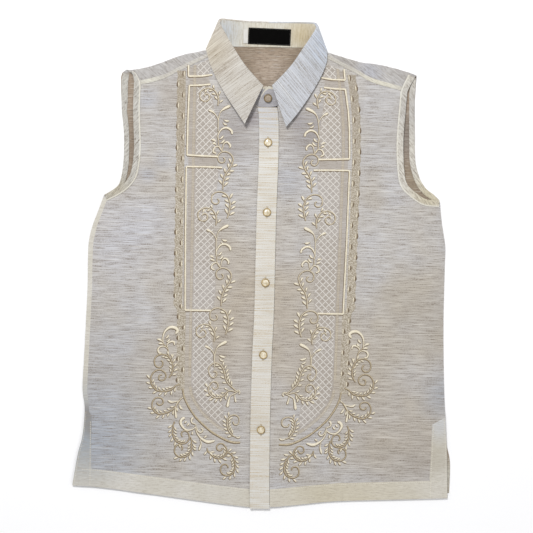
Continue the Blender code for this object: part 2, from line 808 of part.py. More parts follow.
def make_fall():
    """The fall: from its seam with the stand round the fold, then down to its edge."""
    rows = []
    for side in (-1, 1):
        made = []
        for section in collar_sections(side):
            centre, outward, to_stand = fold_of(section)
            edge = section[2]
            path = [centre + to_stand * ROLL - outward * FALL_START]
            for angle in (-60, 0, 60):
                turn = math.radians(angle)
                path.append(centre + (outward * math.cos(turn) - to_stand * math.sin(turn)) * ROLL)
            start = centre - to_stand * ROLL
            in_front = smooth_step((LEAF_TOP_Y - edge.y) / LEAF_TOP_REACH)
            for share in (0.04, 0.3, 0.6, 0.85, 1.0):
                crown = LEAF_CROWN * math.sin(math.pi * share) * in_front
                path.append(start.lerp(edge, share) - to_stand * crown)
            made.append([mirrored(p, side) for p in path])
        rows += made[::-1] if side < 0 else made[1:]
    grid_wall("collar_fall", "collar", rows, COLLAR_WALL)


def stand_row(low, high, side):
    return [mirrored(low.lerp(high, share), side) for share in (0.0, 0.35, 0.7, 1.0)]


def make_stand():
    """The stand: up from the neckline to the fall's seam, with ends that lap at the centre front."""
    full = COLLAR[-1][1][1] - COLLAR[-1][0][1]
    rows = []
    for side in (-1, 1):
        sections = collar_sections(side)
        made = [stand_row(section[0], seam_point(section), side) for section in sections]
        neck_z, top_z = sections[-1][0].z, seam_point(sections[-1]).z
        for neck_x, neck_y, top_x, top_y in STAND_END:
            height = neck_z + (top_z - neck_z) * (top_y - neck_y) / full
            made.append(stand_row(Vector((neck_x, neck_y, neck_z)), Vector((top_x, top_y, height)), side))
        rows += made[::-1] if side < 0 else made[1:]
    grid_wall("collar_stand", "collar", rows, COLLAR_WALL)


def back_stand_z(y):
    """Mid cloth of the stand at the middle of the back."""
    neck, fold = COLLAR[0][:2]
    top_z = fold[2] + ROLL
    top_y = fold[1] - ROLL - COLLAR_WALL / 2 - STAND_SHORT
    return neck[2] + (top_z - neck[2]) * (y - neck[1]) / (top_y - neck[1])


def make_patch(name, slot, centre, size):
    """A flat label on the inside of the stand."""
    rows = []
    lift = COLLAR_WALL / 2 + GAP + TRIM_WALL / 2
    for x in (centre[0] - size[0] / 2, centre[0] + size[0] / 2):
        ends = (centre[1] - size[1] / 2, centre[1] + size[1] / 2)
        rows.append([(x, y, back_stand_z(y) + lift) for y in ends])
    grid_wall(name, slot, rows, TRIM_WALL)


def button_mesh():
    """A round button with a flat back, a raised rim and a low domed middle, turned about Z."""
    profile = (
        # share of the radius, share of the height
        (0.0, 0.0),
        (0.86, 0.0),
        (1.0, 0.3),
        (0.98, 0.75),
        (0.88, 1.0),
        (0.78, 0.8),
        (0.7, 0.62),
        (0.35, 0.86),
        (0.0, 0.95),
    )
    shape = bmesh.new()
    verts = [shape.verts.new((r * BUTTON_RADIUS * MM, 0, h * BUTTON_HEIGHT * MM)) for r, h in profile]
    edges = [shape.edges.new(pair) for pair in zip(verts, verts[1:])]
    turned = {"cent": (0, 0, 0), "axis": (0, 0, 1), "angle": 2 * math.pi, "steps": BUTTON_STEPS}
    bmesh.ops.spin(shape, geom=verts + edges, use_merge=True, **turned)
    bmesh.ops.remove_doubles(shape, verts=shape.verts, dist=1e-5)
    bmesh.ops.recalc_face_normals(shape, faces=shape.faces)
    mesh = bpy.data.meshes.new("button")
    shape.to_mesh(mesh)
    shape.free()
    mesh.shade_smooth()
    mesh.set_sharp_from_angle(angle=math.radians(50))
    mesh.materials.append(material("button"))
    return mesh


def make_buttons():
    """One button on the stand's upper end, tilted with it, and the others down the band."""
    mesh = button_mesh()
    section = collar_sections(1)[-1]
    seam_z = section[0].z
    slope = (seam_point(section).z - seam_z) / (COLLAR[-1][1][1] - COLLAR[-1][0][1])
    x, y = BUTTON_ON_STAND
    face_z = seam_z + slope * (y - STAND_END[0][1])
    normal = Vector((0, -slope, 1)).normalized()
    places = [(Vector((x, y, face_z)) + normal * (COLLAR_WALL / 2 + GAP), math.atan(slope))]
    for x, y in BUTTONS_ON_BAND:
        heights = [front_underside(-0.5, y + dy) for dy in (-BUTTON_RADIUS, 0, BUTTON_RADIUS)]
        places.append((Vector((x, y, max(heights) + WALL + GAP + BAND_WALL + GAP)), 0.0))
    for number, (place, tilt) in enumerate(places, 1):
        made = bpy.data.objects.new(f"button_{number}", mesh)
        made.matrix_world = Matrix.Translation(place * MM) @ Matrix.Rotation(tilt, 4, "X")
        bpy.context.scene.collection.objects.link(made)


def main():
    clear_scene()
    make_back()
    make_front(-1, "front_right", front_underside)
    make_front(1, "front_left", left_front_underside)
    for side, word in ((-1, "right"), (1, "left")):
        for part, edge, top in (("front", armhole_front, front_top), ("back", armhole_back, back_top)):
            name = f"{word}_{part}"
            make_binding(f"armhole_binding_{name}", side, edge(side), BINDING_ON_YOKE[name], top)
    make_yoke()
    make_band()
    make_stand()
    make_fall()
    make_patch("neck_label", "label", LABEL_CENTRE, LABEL_SIZE)
    make_patch("size_tab", "tab", TAB_CENTRE, TAB_SIZE)
    make_buttons()


main()
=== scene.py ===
# %% [markdown]
# # A sleeveless barong tagalog shirt, laid flat
#
# A barong is the sheer embroidered shirt of the Philippines. This one has no sleeves: a collar, a buttoned
# band, bound armholes and side slits, with an embroidered and openworked panel down each front. It lies on
# its back.
#
# The CAD model holds the cut pieces as plain slabs. This lesson puts thin cloth, thread and pearl in their
# places. Each sewn piece stays an object of its own, because that is how the real shirt is made, and how it
# is reused.

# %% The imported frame
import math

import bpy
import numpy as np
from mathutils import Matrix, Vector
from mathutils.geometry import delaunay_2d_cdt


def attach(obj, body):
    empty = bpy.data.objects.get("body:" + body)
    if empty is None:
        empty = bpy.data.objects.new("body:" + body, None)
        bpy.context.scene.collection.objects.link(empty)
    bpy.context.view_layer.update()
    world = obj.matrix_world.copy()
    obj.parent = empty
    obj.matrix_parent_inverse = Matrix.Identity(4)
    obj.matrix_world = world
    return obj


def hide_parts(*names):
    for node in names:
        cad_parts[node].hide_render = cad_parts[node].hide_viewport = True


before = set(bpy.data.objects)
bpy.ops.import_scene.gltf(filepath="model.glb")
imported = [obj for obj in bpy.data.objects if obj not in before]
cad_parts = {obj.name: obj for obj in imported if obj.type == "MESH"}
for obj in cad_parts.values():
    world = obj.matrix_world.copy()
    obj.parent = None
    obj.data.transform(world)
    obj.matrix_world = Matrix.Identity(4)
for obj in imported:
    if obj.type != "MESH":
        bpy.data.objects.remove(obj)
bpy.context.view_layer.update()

# %% [markdown]
# ## Sizes and small helpers
#
# Everything below is in millimetres, because a tailor's table reads that way, and is turned to metres only
# where a mesh is made. X runs to the wearer's left, Y up to the collar and Z up from the table. Cloth
# outlines are short tables of points with a smooth curve through them: few numbers, and a clean edge however
# finely it is cut.

MM = 0.001


def smooth_step(value):
    """0 below 0, 1 above 1, and a soft S between."""
    value = np.clip(value, 0.0, 1.0)
    return value * value * (3 - 2 * value)


def read_table(table, at, column=1):
    """A column of a table between its rows, whose first column rises or falls."""
    rows = sorted(table)
    return np.interp(at, [row[0] for row in rows], [row[column] for row in rows])


def smooth_curve(points, pieces=8):
    """A curve through the points, so many short stretches between each two."""
    points = np.array(points, float)
    ends = np.vstack([2 * points[0] - points[1], points, 2 * points[-1] - points[-2]])
    share = np.linspace(0, 1, pieces, endpoint=False)[:, None]
    made = []
    for a, b, c, d in zip(ends, ends[1:], ends[2:], ends[3:]):
        into, out = (c - a) / 2, (d - b) / 2
        bend = (2 * b - 2 * c + into + out) * share + 3 * c - 3 * b - 2 * into - out
        made.append((bend * share + into) * share + b)
    return np.vstack([*made, points[-1:]])


def evenly(points, step):
    """Points spaced evenly along a line, at most a step apart."""
    points = np.array(points, float)
    along = np.concatenate([[0], np.cumsum(np.linalg.norm(np.diff(points, axis=0), axis=1))])
    places = np.linspace(0, along[-1], max(1, math.ceil(along[-1] / step)) + 1)
    return np.stack([np.interp(places, along, points[:, k]) for k in range(points.shape[1])], axis=1)


def directions(line):
    """The unit direction of a line at each of its points."""
    ahead = np.gradient(line, axis=0)
    return ahead / np.maximum(np.linalg.norm(ahead, axis=1, keepdims=True), 1e-9)


def beside(line, width):
    """A line moved sideways to its left by a width, which may change along it."""
    along = directions(line)
    return line + np.stack([-along[:, 1], along[:, 0]], axis=1) * np.reshape(width, (-1, 1))


def away_from(points, line):
    """(distance from each point to a line, how far along the line that is, 0 to 1)."""
    near = np.full(len(points), np.inf)
    share = np.zeros(len(points))
    for i, (a, b) in enumerate(zip(line, line[1:])):
        stretch = b - a
        t = np.clip((points - a) @ stretch / max(stretch @ stretch, 1e-9), 0, 1)
        gap = np.linalg.norm(points - a - t[:, None] * stretch, axis=1)
        share = np.where(gap < near, (i + t) / (len(line) - 1), share)
        near = np.minimum(near, gap)
    return near, share


# %% [markdown]
# ## Making the pieces
#
# A cut piece of cloth is an outline filled with small triangles (a constrained Delaunay fill keeps seams and
# hem lines as edges) and lifted by a height function. Its underside and rim close it, since real cloth has an
# edge that catches light. Strips and collars are grids instead: rows of points with a wall put round them.
#
# A shirt that somebody lays down by hand is never quite straight. Its centre front wanders by 3 mm, so every
# piece of cloth near the middle is moved sideways by a short table of the lean at each height, fading out to
# the sides.

# %% Helpers for cloth meshes
CLOTH = 0.8  # wall of a panel; the real cloth is thinner, but an edge this thick still shows
TRIM = 0.6  # wall of bindings and labels
ROOT = "root"
CENTRE_LEAN = (
    # y, how far the body's cloth lies to the wearer's left at the centre front
    (252, 0), (238, 0.3), (224, 2.3), (208, 3), (185, 3.4), (150, 3.2), (112, 2.2), (60, 1.2), (0, 0.8),
    (-56, 0.5), (-84, 0), (-128, -1.6), (-200, -2.7), (-240, -2.9), (-320, -2.5), (-366, -1.6),
)
LEAN_FROM, LEAN_TO = 17.0, 42.0  # from the middle: the lean is full up to the first, and gone at the second


def lean_at(y):
    """How far the centre front lies to the left at a height."""
    return read_table(CENTRE_LEAN, y)


def add_piece(name, points, faces, materials, slot, stands_for=None, regions=None, sharp=40):
    """A named piece from points in millimetres, riding the frame. It may stand for a CAD node."""
    points = np.array(points, float)
    if slot in ("cloth", "band"):
        fade = 1 - smooth_step((np.abs(points[:, 0]) - LEAN_FROM) / (LEAN_TO - LEAN_FROM))
        points[:, 0] += lean_at(points[:, 1]) * fade
    mesh = bpy.data.meshes.new(name)
    mesh.from_pydata([Vector(p) * MM for p in points], [], [tuple(f) for f in faces])
    mesh.validate()
    for finish in materials:
        mesh.materials.append(finish)
    if regions is not None:
        mesh.polygons.foreach_set("material_index", np.asarray(regions, np.int32))
    mesh.shade_smooth()
    mesh.set_sharp_from_angle(angle=math.radians(sharp))
    piece = bpy.data.objects.new(name, mesh)
    bpy.context.scene.collection.objects.link(piece)
    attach(piece, ROOT)
    if stands_for:
        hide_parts(stands_for)
    return piece


def inside(points, outline):
    """Which points lie inside a closed outline."""
    found = np.zeros(len(points), bool)
    x, y = points[:, 0], points[:, 1]
    for (ax, ay), (bx, by) in zip(outline, np.roll(outline, -1, axis=0)):
        if ay == by:
            continue
        crosses = (ay > y) != (by > y)
        found ^= crosses & (x < ax + (y - ay) / (by - ay) * (bx - ax))
    return found


def fill(outline, lines, step):
    """(points, triangles) that fill an outline, with the lines among their edges."""
    outline = np.array(outline, float)
    low, high = outline.min(axis=0), outline.max(axis=0)
    row_step = step * math.sqrt(3) / 2
    rows = np.arange(1, int((high[1] - low[1]) / row_step) + 1)
    columns = np.arange(int((high[0] - low[0]) / step) + 1)
    across, up = np.meshgrid(columns, rows)
    grid = np.stack([low[0] + step * (across + 0.5 * (up % 2)), low[1] + row_step * up], axis=-1)
    grid = grid.reshape(-1, 2)
    grid = grid[inside(grid, outline)]
    for line in [np.vstack([outline, outline[:1]]), *lines]:
        grid = grid[away_from(grid, np.array(line, float))[0] > 0.5 * step]
    points = [Vector(p) for p in outline]
    edges = []
    for line in lines:
        edges += [(len(points) + i, len(points) + i + 1) for i in range(len(line) - 1)]
        points += [Vector(p) for p in line]
    points += [Vector(p) for p in grid]
    filled = delaunay_2d_cdt(points, edges, [list(range(len(outline)))], 1, 1e-5)
    places = np.array([tuple(p) for p in filled[0]])
    triangles = np.array(filled[2])
    a, b, c = (places[triangles[:, k]] for k in range(3))
    turn = (b - a)[:, 0] * (c - a)[:, 1] - (b - a)[:, 1] * (c - a)[:, 0]
    triangles[turn < 0] = triangles[turn < 0][:, ::-1]
    return places, triangles


def close_wall(faces, count):
    """Faces of a wall whose upper points come first: top, underside and the rim between them."""
    directed = {(f[i], f[(i + 1) % len(f)]) for f in faces for i in range(len(f))}
    rim = sorted(edge for edge in directed if edge[::-1] not in directed)
    under = [tuple(i + count for i in f[::-1]) for f in faces]
    return [*map(tuple, faces), *under, *((b, a, a + count, b + count) for a, b in rim)]


def grid_faces(rows, columns):
    """The faces of a grid of points, row after row."""
    a = np.arange(rows * columns).reshape(rows, columns)
    return np.stack([a[:-1, :-1], a[1:, :-1], a[1:, 1:], a[:-1, 1:]], axis=-1).reshape(-1, 4)


def normals_of(grid):
    """The unit normal at each point of a grid."""
    out = np.cross(np.gradient(grid, axis=0), np.gradient(grid, axis=1))
    return out / np.maximum(np.linalg.norm(out, axis=2, keepdims=True), 1e-9)


def grid_piece(name, grid, wall, materials, slot, stands_for=None, regions=None):
    """A sheet of cloth from a grid of points at mid cloth, with a wall put round it along the normals."""
    rows, columns = grid.shape[:2]
    out = normals_of(grid) * wall / 2
    points = np.concatenate([(grid + out).reshape(-1, 3), (grid - out).reshape(-1, 3)])
    faces = close_wall(grid_faces(rows, columns), rows * columns)
    if regions is not None:
        regions = list(regions) * 2 + [0] * (len(faces) - 2 * len(regions))
    return add_piece(name, points, faces, materials, slot, stands_for, regions)


# %% [markdown]
# ## Colours and one helper for shader nodes
#
# Swatch colours are written as sRGB hex, as a paint chip or a web page gives them. Blender's shaders work in
# linear light, so one function turns them round. A second one adds any node, with its settings and links.

# %% Helpers for materials
IOR = 1.5  # plant fibre, rayon, cotton and resin are all close to it
COLOUR_MIX = {"data_type": "RGBA"}


def linear(swatch):
    """An sRGB hex colour as linear red, green, blue and 1."""
    parts = [int(swatch[i : i + 2], 16) / 255 for i in (1, 3, 5)]
    return (*(p / 12.92 if p <= 0.04045 else ((p + 0.055) / 1.055) ** 2.4 for p in parts), 1.0)


def add_node(tree, kind, settings=None, **inputs):
    """A shader node. settings are its own properties; inputs are sockets, as values or as sockets to link."""
    node = tree.nodes.new("ShaderNode" + kind)
    for key, value in (settings or {}).items():
        setattr(node, key, value)
    for key, value in inputs.items():
        name = key.replace("_", " ")
        socket = node.inputs[int(key[1:])] if key[1:].isdigit() else node.inputs[name]
        if isinstance(value, bpy.types.NodeSocket):
            tree.links.new(value, socket)
        else:
            socket.default_value = value
    return node


def new_finish(name, roughness, sheen=0.0):
    """(material, its node tree, its Principled shader), with the constant values set on the shader itself."""
    made = bpy.data.materials.new(name)
    made.use_nodes = True
    tree = made.node_tree
    shader = tree.nodes["Principled BSDF"]
    shader.inputs["Roughness"].default_value = roughness
    shader.inputs["Sheen Weight"].default_value = sheen
    shader.inputs["IOR"].default_value = IOR
    return made, tree, shader


# %% [markdown]
# ## The cloth's finish
#
# Barong cloth is woven from pineapple-leaf or raw silk fibre that is knotted end to end, so its weft is full
# of slubs: longer, thicker, darker stretches that lie across the shirt. The threads are about 0.4 mm apart,
# too fine to show at this size, so the slubs are drawn 1 to 2 mm wide, and the plain weave is only a slight
# bump.
#
# One recipe serves every piece, since the whole shirt is one cloth. What changes is which way the piece was
# cut (turn), how light it looks single or folded double, and how warm the light through it is. Noise
# stretched along the weft stands for the short slubs, the long ones, the pale ones and the weave. A fine
# grain breaks the dark ones up, and a coarse noise makes the ground uneven. Most soft round spots of colour
# are painted light and shade: the bluish tint of window light, the warm tint of lamp light, the shade near
# the collar and in folds, and the shadows cast by the collar's points.

# %% Pineapple-fibre cloth
THREAD = 1.1  # drawn thread spacing; the real one is about 0.4
GRAIN = 1.7  # how finely the dark slubs are broken up
CLOUD = 70.0  # how far apart lighter and darker areas lie


def tinted(tree, place, base, spots):
    """A colour socket with soft round tints: rows of x, y, radius, strength, tint."""
    for x, y, radius, strength, tint in spots:
        middle = (x * MM, y * MM, 0)
        away = add_node(tree, "VectorMath", {"operation": "DISTANCE"}, _0=place, _1=middle)
        limits = {"_1": radius * MM, "_2": 0.0, "_4": strength}
        soft = {"interpolation_type": "SMOOTHSTEP"}
        near = add_node(tree, "MapRange", soft, Value=away.outputs["Value"], **limits)
        near = near.outputs["Result"]
        base = add_node(tree, "Mix", COLOUR_MIX, _0=near, _6=base, _7=linear(tint)).outputs[2]
    return base


def pina_cloth(name, light, shade, slub, turn=0.0, length=9.0, width=1.35, contrast=0.6, spots=()):
    """Slubbed plain weave. Its slubs run along X, turned by some degrees about Z. Spots are soft tints."""
    made, tree, shader = new_finish(name, roughness=0.78, sheen=0.15)
    place = add_node(tree, "TexCoord").outputs["Object"]
    turned = add_node(tree, "Mapping", Vector=place, Rotation=(0, 0, math.radians(-turn)))
    turned = turned.outputs["Vector"]

    def streaks(long, wide, detail, low, high):
        scale = (1000 / long, 1000 / wide, 1000 / 60)
        laid = add_node(tree, "Mapping", Vector=turned, Scale=scale).outputs["Vector"]
        noise = add_node(tree, "TexNoise", Vector=laid, Scale=1.0, Detail=detail, Roughness=0.55)
        found = add_node(tree, "MapRange", Value=noise.outputs["Fac"], _1=low, _2=high)
        return found.outputs["Result"]

    short_slubs = streaks(length, width, 2.0, 0.42, 0.7)
    long_slubs = streaks(length * 4.5, width * 1.5, 3.0, 0.52, 0.72)
    bright_slubs = streaks(length * 2.2, width * 1.2, 1.0, 0.56, 0.78)
    weave = streaks(THREAD * 2.2, THREAD, 1.0, 0.3, 0.7)
    clouds = add_node(tree, "TexNoise", Vector=place, Scale=1000 / CLOUD, Detail=2.0).outputs["Fac"]
    cloudy = add_node(tree, "MapRange", Value=clouds, _1=0.36, _2=0.64).outputs["Result"]
    base = add_node(tree, "Mix", COLOUR_MIX, _0=cloudy, _6=linear(light), _7=linear(shade))
    base = tinted(tree, place, base.outputs[2], spots)
    dark = add_node(tree, "Math", {"operation": "MAXIMUM"}, _0=short_slubs, _1=long_slubs)
    grain = add_node(tree, "TexNoise", Vector=place, Scale=1000 / GRAIN, Detail=1.0).outputs["Fac"]
    depth = {"_1": 0.3, "_2": 0.7, "_3": 0.45 * contrast, "_4": 1.45 * contrast}
    grain = add_node(tree, "MapRange", Value=grain, **depth).outputs["Result"]
    times = {"operation": "MULTIPLY"}
    dark = add_node(tree, "Math", times, _0=dark.outputs["Value"], _1=grain).outputs["Value"]
    streaked = add_node(tree, "Mix", COLOUR_MIX, _0=dark, _6=base, _7=linear(slub)).outputs[2]
    lifted = add_node(tree, "Math", times, _0=bright_slubs, _1=contrast * 0.45).outputs["Value"]
    toned = add_node(tree, "Mix", COLOUR_MIX, _0=lifted, _6=streaked, _7=linear("#F2EFE6"))
    tree.links.new(toned.outputs[2], shader.inputs["Base Color"])
    relief = add_node(tree, "Math", {"operation": "MULTIPLY_ADD"}, _0=short_slubs, _1=1.2, _2=weave)
    bump = add_node(tree, "Bump", Strength=0.4, Distance=0.2 * MM, Height=relief.outputs["Value"])
    tree.links.new(bump.outputs["Normal"], shader.inputs["Normal"])
    return made


# Painted light and shade on the fronts: bluish tints of window light, warm tints of lamp light, shade near
# the collar, in the folds and round the armholes, and the shadows that the collar's points cast at (-23, 221)
# and (46, 216).
LIGHT_AND_SHADE_SPOTS = (
    # x, y, radius, strength, tint
    (-262, -270, 150, 0.85, "#A0A8B3"),
    (-235, -150, 150, 0.4, "#A9ABB0"),
    (-215, 40, 120, 0.5, "#C3C5CE"),
    (270, -195, 55, 0.7, "#A4ACB7"),
    (236, -70, 110, 0.55, "#ADA28D"),
    (118, -140, 110, 0.55, "#B5A88F"),
    (-100, -150, 120, 0.6, "#B5A78F"),
    (-55, 195, 70, 0.9, "#A39F9E"),
    (66, 200, 75, 0.95, "#A19D9C"),
    (-120, 300, 60, 0.5, "#AFABA9"),
    (-175, 230, 110, 0.35, "#B5B1AC"),
    (180, 210, 120, 0.35, "#B2AEAA"),
    (190, -250, 150, 0.6, "#B3A999"),
    (-90, -300, 120, 0.3, "#B9B2A6"),
    (-30, -40, 150, 0.55, "#B5A78F"),
    (30, -120, 160, 0.45, "#B5A893"),
    (32, 128, 45, 0.7, "#B0B2B8"),
    (243, -290, 60, 0.45, "#A69C8E"),
    (-23, 221, 25, 0.7, "#857E85"),
    (46, 216, 18, 0.4, "#94919A"),
    (-144, 252, 34, 0.55, "#A59C92"),
    (-178, 133, 24, 0.55, "#A4AAB8"),
    (-157, 153, 21, 0.5, "#A9ADB8"),
    (-180, 246, 26, 0.5, "#B3B9C7"),
)
single_cloth = pina_cloth(
    "pina_single", "#C4C3C3", "#C0BBB3", "#74675A", length=24, width=1.05, contrast=0.76, spots=LIGHT_AND_SHADE_SPOTS
)
drawn_ground = pina_cloth("pina_drawn_ground", "#B3ADA7", "#ABA399", "#7D7164", contrast=0.5)
# Its spots are painted light and shade: the two dark ones at (-262, -228) and (-257, -248) are the shade of
# the bend at the top of the right facing, and the others are bluish tints of window light and warm tints of
# lamp light.
double_cloth = pina_cloth(
    "pina_double", "#D2CFC7", "#C9C5B9", "#958977", contrast=0.4,
    spots=(
        (-264, -255, 110, 0.9, "#8F98A2"),
        (262, -285, 50, 0.7, "#B3AEA2"),
        (-262, -228, 26, 0.9, "#827F7E"),
        (-257, -248, 22, 0.8, "#85827F"),
        (120, -340, 220, 0.6, "#C4BA9E"),
        (268, -235, 40, 0.7, "#C3C6CB"),
    ),
)
# Its spot is painted shade: bluish grey at the top of the band, between the collar's points.
band_cloth = pina_cloth(
    "pina_band", "#DAD9D4", "#CFCDC6", "#B7A27C", length=60, width=1.5, contrast=0.72,
    spots=((0, 222, 60, 0.9, "#BFC2C8"),),
)
# Of its spots, the dark one at (220, 279) is a painted shadow deep in the left armhole slit, and the light
# one at (283, -312) is painted light on the back's corner that slips out at the hem, which lies in shadow.
inside_cloth = pina_cloth(
    "pina_inside_back", "#A89785", "#938370", "#5F4F3F", contrast=0.62,
    spots=(
        (-55, 318, 50, 0.55, "#7A6C58"),
        (55, 318, 50, 0.5, "#7F7058"),
        (10, 283, 42, 0.55, "#BCAC9C"),
        (-209, 178, 62, 0.8, "#8C7D6C"),
        (216, 196, 60, 0.85, "#878079"),
        (226, 132, 40, 0.6, "#948873"),
        (-213, 288.5, 9, 1, "#B9BABB"),
        (220, 279, 15, 0.85, "#5C5A5D"),
        (283, -312, 45, 1, "#BDB9AB"),
    ),
)
bias_right = pina_cloth(
    "pina_bias_right", "#C6C4BE", "#B9B6AD", "#6F6558", turn=52, contrast=0.8,
    spots=((-228, 112, 34, 0.75, "#B5AC93"),),
)
bias_left = pina_cloth(
    "pina_bias_left", "#D3D0C6", "#C9C4B9", "#7C7062", turn=-52, contrast=0.75,
    spots=((245, 110, 46, 0.8, "#C6BC9D"), (221, 235, 60, 0.8, "#B4B2AF")),
)
bias_fold = pina_cloth("pina_bias_fold", "#DBD9D0", "#D3CFC2", "#A89C86", turn=52, contrast=0.4)
yoke_cloth = pina_cloth(
    "pina_yoke", "#BAB8B6", "#B1ADA9", "#6D6257", turn=-38, length=12, contrast=0.7,
    spots=((120, 300, 40, 0.6, "#A9A59F"), (152, 292, 30, 0.6, "#B4B8C4")),
)
yoke_edge_cloth = pina_cloth(
    "pina_yoke_edge", "#C4C1BB", "#BDB9AF", "#8A7F70", turn=-25, contrast=0.5,
    spots=((-176, 272, 24, 0.9, "#DCDACD"), (168, 274, 52, 0.9, "#D9D5C4")),
)
leaf_right_cloth = pina_cloth(
    "pina_leaf_right", "#CDCAC4", "#C6C1B6", "#7A6750", turn=36, length=34, width=1.0, contrast=0.68,
    spots=(
        (-80, 320, 60, 0.6, "#C2B598"),
        (-35, 225, 50, 0.5, "#C3C3C1"),
        (-50, 368, 26, 0.6, "#A8A193"),
    ),
)
leaf_left_cloth = pina_cloth(
    "pina_leaf_left", "#C7CAD0", "#BFC3C8", "#7F766C", turn=-49, length=34, width=1.0, contrast=0.72,
    spots=((50, 368, 26, 0.6, "#A8A193"), (76, 330, 46, 0.8, "#BAC6D6")),
)
# Its first spot is painted shade, bluish grey at the corner of the stand on the wearer's right; the second is
# a tan tint.
stand_cloth = pina_cloth(
    "pina_stand", "#D3D1C8", "#C9C3B2", "#9A8867", turn=90, length=12, contrast=0.5,
    spots=((-66, 350, 45, 0.9, "#B4BAC0"), (52, 345, 40, 0.9, "#BDAE8C")),
)
# The stand's front ends lie in the shade under the collar's points: this darker grey finish is that shade,
# painted.
stand_end_shade_cloth = pina_cloth("pina_stand_end_painted_shade", "#A9A8AC", "#A19E9F", "#77716D", length=9, contrast=0.35)
print("cloth finishes:", len(bpy.data.materials))

# %% [markdown]
# ## The lie of the cloth
#
# The back lies flat on the table. The fronts lie on it, but never quite flat: air and the seam allowances
# hold them 2 to 4 mm off, with soft ridges and troughs where the cloth was last moved. Those are placed one
# by one, a row each, because chance noise makes cloth look like water, and a real crease starts and stops for
# a reason.

# %% Heights of the back and the fronts
HALF_WIDTH = 283.5
BAND_HALF = 14.8
CAD_WALL = 1.2
SEAM = 0.3  # gap between pieces where they are sewn
SHOULDER_BEND = 1.6
BODY_RISE, HEM_RISE = 2.2, 0.7  # of the fronts off the back, in the body and near the hem
ARMHOLE_EDGE_RISE, SLIT_EDGE_RISE = 1.35, 0.5  # of their cut edges
BAND_SIDE_RISE, BAND_SIDE_WIDTH = 1.2, 26.0  # of the left front beside the band
SIDE_SEAM_DIP = 0.9  # where a side is sewn down to the back
NECK_LIFT, NECK_LIFT_Y, NECK_LIFT_HALF = 2.3, 286.0, 97.0  # of the back, over the folded collar

SIDES = (
    # y, right_x, left_x
    (101.5, -242.5, 260.5), (76.5, -251.5, 263.3), (55.5, -259.3, 266.8), (30.5, -264.8, 270.5),
    (0.5, -265.6, 270.2), (-38.5, -265.5, 269.8), (-86.5, -267, 269.6), (-145.5, -269, 271),
    (-190.5, -270.5, 272.8), (-221.5, -266.6, 274.8), (-261.5, -269.4, 277.3), (-288.5, -276, 278.4),
    (-335.5, -HALF_WIDTH, 279.8),
)
UNDERARM_Y = SIDES[0][0]
SLIT_TOP_Y = -224.0

# Ridges (above 0) and troughs of the fronts. Each fades out at its ends and sides.
CREASES = (
    # from x, from y, to x, to y, half width, height
    (-264, -24, -226, -45, 12, -1.3),
    (-266, -236, -248, -220, 5.5, 0.7),
    (-268, -253, -250, -237, 5.5, 0.7),
    (-270, -270, -251, -254, 5.5, 0.6),
    (255, -60, 272, -120, 12, 0.9),
    (205, 60, 268, 52, 12, 0.8),
    (188, -300, 262, -322, 12, -0.8),
    (-206, 112, -256, 36, 20, 1.1),
    (-250, -150, -270, -230, 22, 1),
    (-252, -226, -272, -330, 20, 1.5),
    (-150, -250, -185, -345, 26, 0.8),
    (202, 108, 272, 34, 18, 1.8),
    (232, -10, 272, 4, 18, -0.9),
    (117, -246, 268, -288, 18, 1.6),
    (150, 40, 215, -60, 28, 0.9),
    (-215, -90, -190, 40, 34, 0.6),
)


def back_low(x, y):
    """The underside of the back: on the table, but for the neck, which lies over the folded collar."""
    up, out = smooth_step((y - NECK_LIFT_Y) / 24), smooth_step((np.abs(x) - NECK_LIFT_HALF) / 26)
    return NECK_LIFT * up * (1 - out)


def crease_height(x, y):
    """The ridges and troughs at a place, none of them under the front band."""
    points = np.stack([x, y], axis=1)
    total = np.zeros(len(points))
    for from_x, from_y, to_x, to_y, half_width, height in CREASES:
        away, share = away_from(points, np.array([(from_x, from_y), (to_x, to_y)]))
        across = 0.5 + 0.5 * np.cos(np.pi * np.minimum(away / half_width, 1))
        total += height * across * (0.55 + 0.45 * np.sin(np.pi * share))
    return total * smooth_step((np.abs(x) - 2 * BAND_HALF) / BAND_HALF)


def side_x(y, side):
    return read_table(SIDES, y, 1 if side < 0 else 2)


def front_top(x, y):
    """The upper face of the fronts at arrays of places."""
    x, y = np.asarray(x, float).ravel(), np.asarray(y, float).ravel()
    inwards = np.where(x < 0, x - side_x(y, -1), side_x(y, 1) - x)
    at_edge = ARMHOLE_EDGE_RISE * smooth_step((y - 55) / 30) + SLIT_EDGE_RISE * smooth_step((-200 - y) / 40)
    to_shoulder = smooth_step((y - 190) / 70)
    shoulder_rise = 2 * SHOULDER_BEND - CAD_WALL - SEAM
    body = BODY_RISE + (shoulder_rise - BODY_RISE) * to_shoulder
    body = body + (HEM_RISE - BODY_RISE) * smooth_step((-300 - y) / 50)
    off_edge = smooth_step(inwards / 30)
    off_edge = np.where(y > UNDERARM_Y, np.maximum(off_edge, smooth_step((y - UNDERARM_Y) / 60)), off_edge)
    rise = at_edge + (body - at_edge) * off_edge + crease_height(x, y) * (0.35 + 0.65 * off_edge)
    beside_band = BAND_SIDE_RISE * (1 - smooth_step((x - BAND_HALF) / BAND_SIDE_WIDTH)) * (x > BAND_HALF)
    sewn_side = smooth_step((UNDERARM_Y - y) / 20) * smooth_step((y - SLIT_TOP_Y) / 12)
    dip = SIDE_SEAM_DIP * sewn_side * (1 - smooth_step(inwards / 5.0))
    return back_low(x, y) + 2 * CAD_WALL + SEAM + np.maximum(0.0, rise) + beside_band - dip


# %% [markdown]
# ## The back
#
# The back is one wide piece. Only its inside shows: warm and brownish, as it lies in the shade of the fronts,
# in the long slits of the armholes, and one corner that slips out past the left front at the hem. It is a
# plain filled outline, flat on the table.

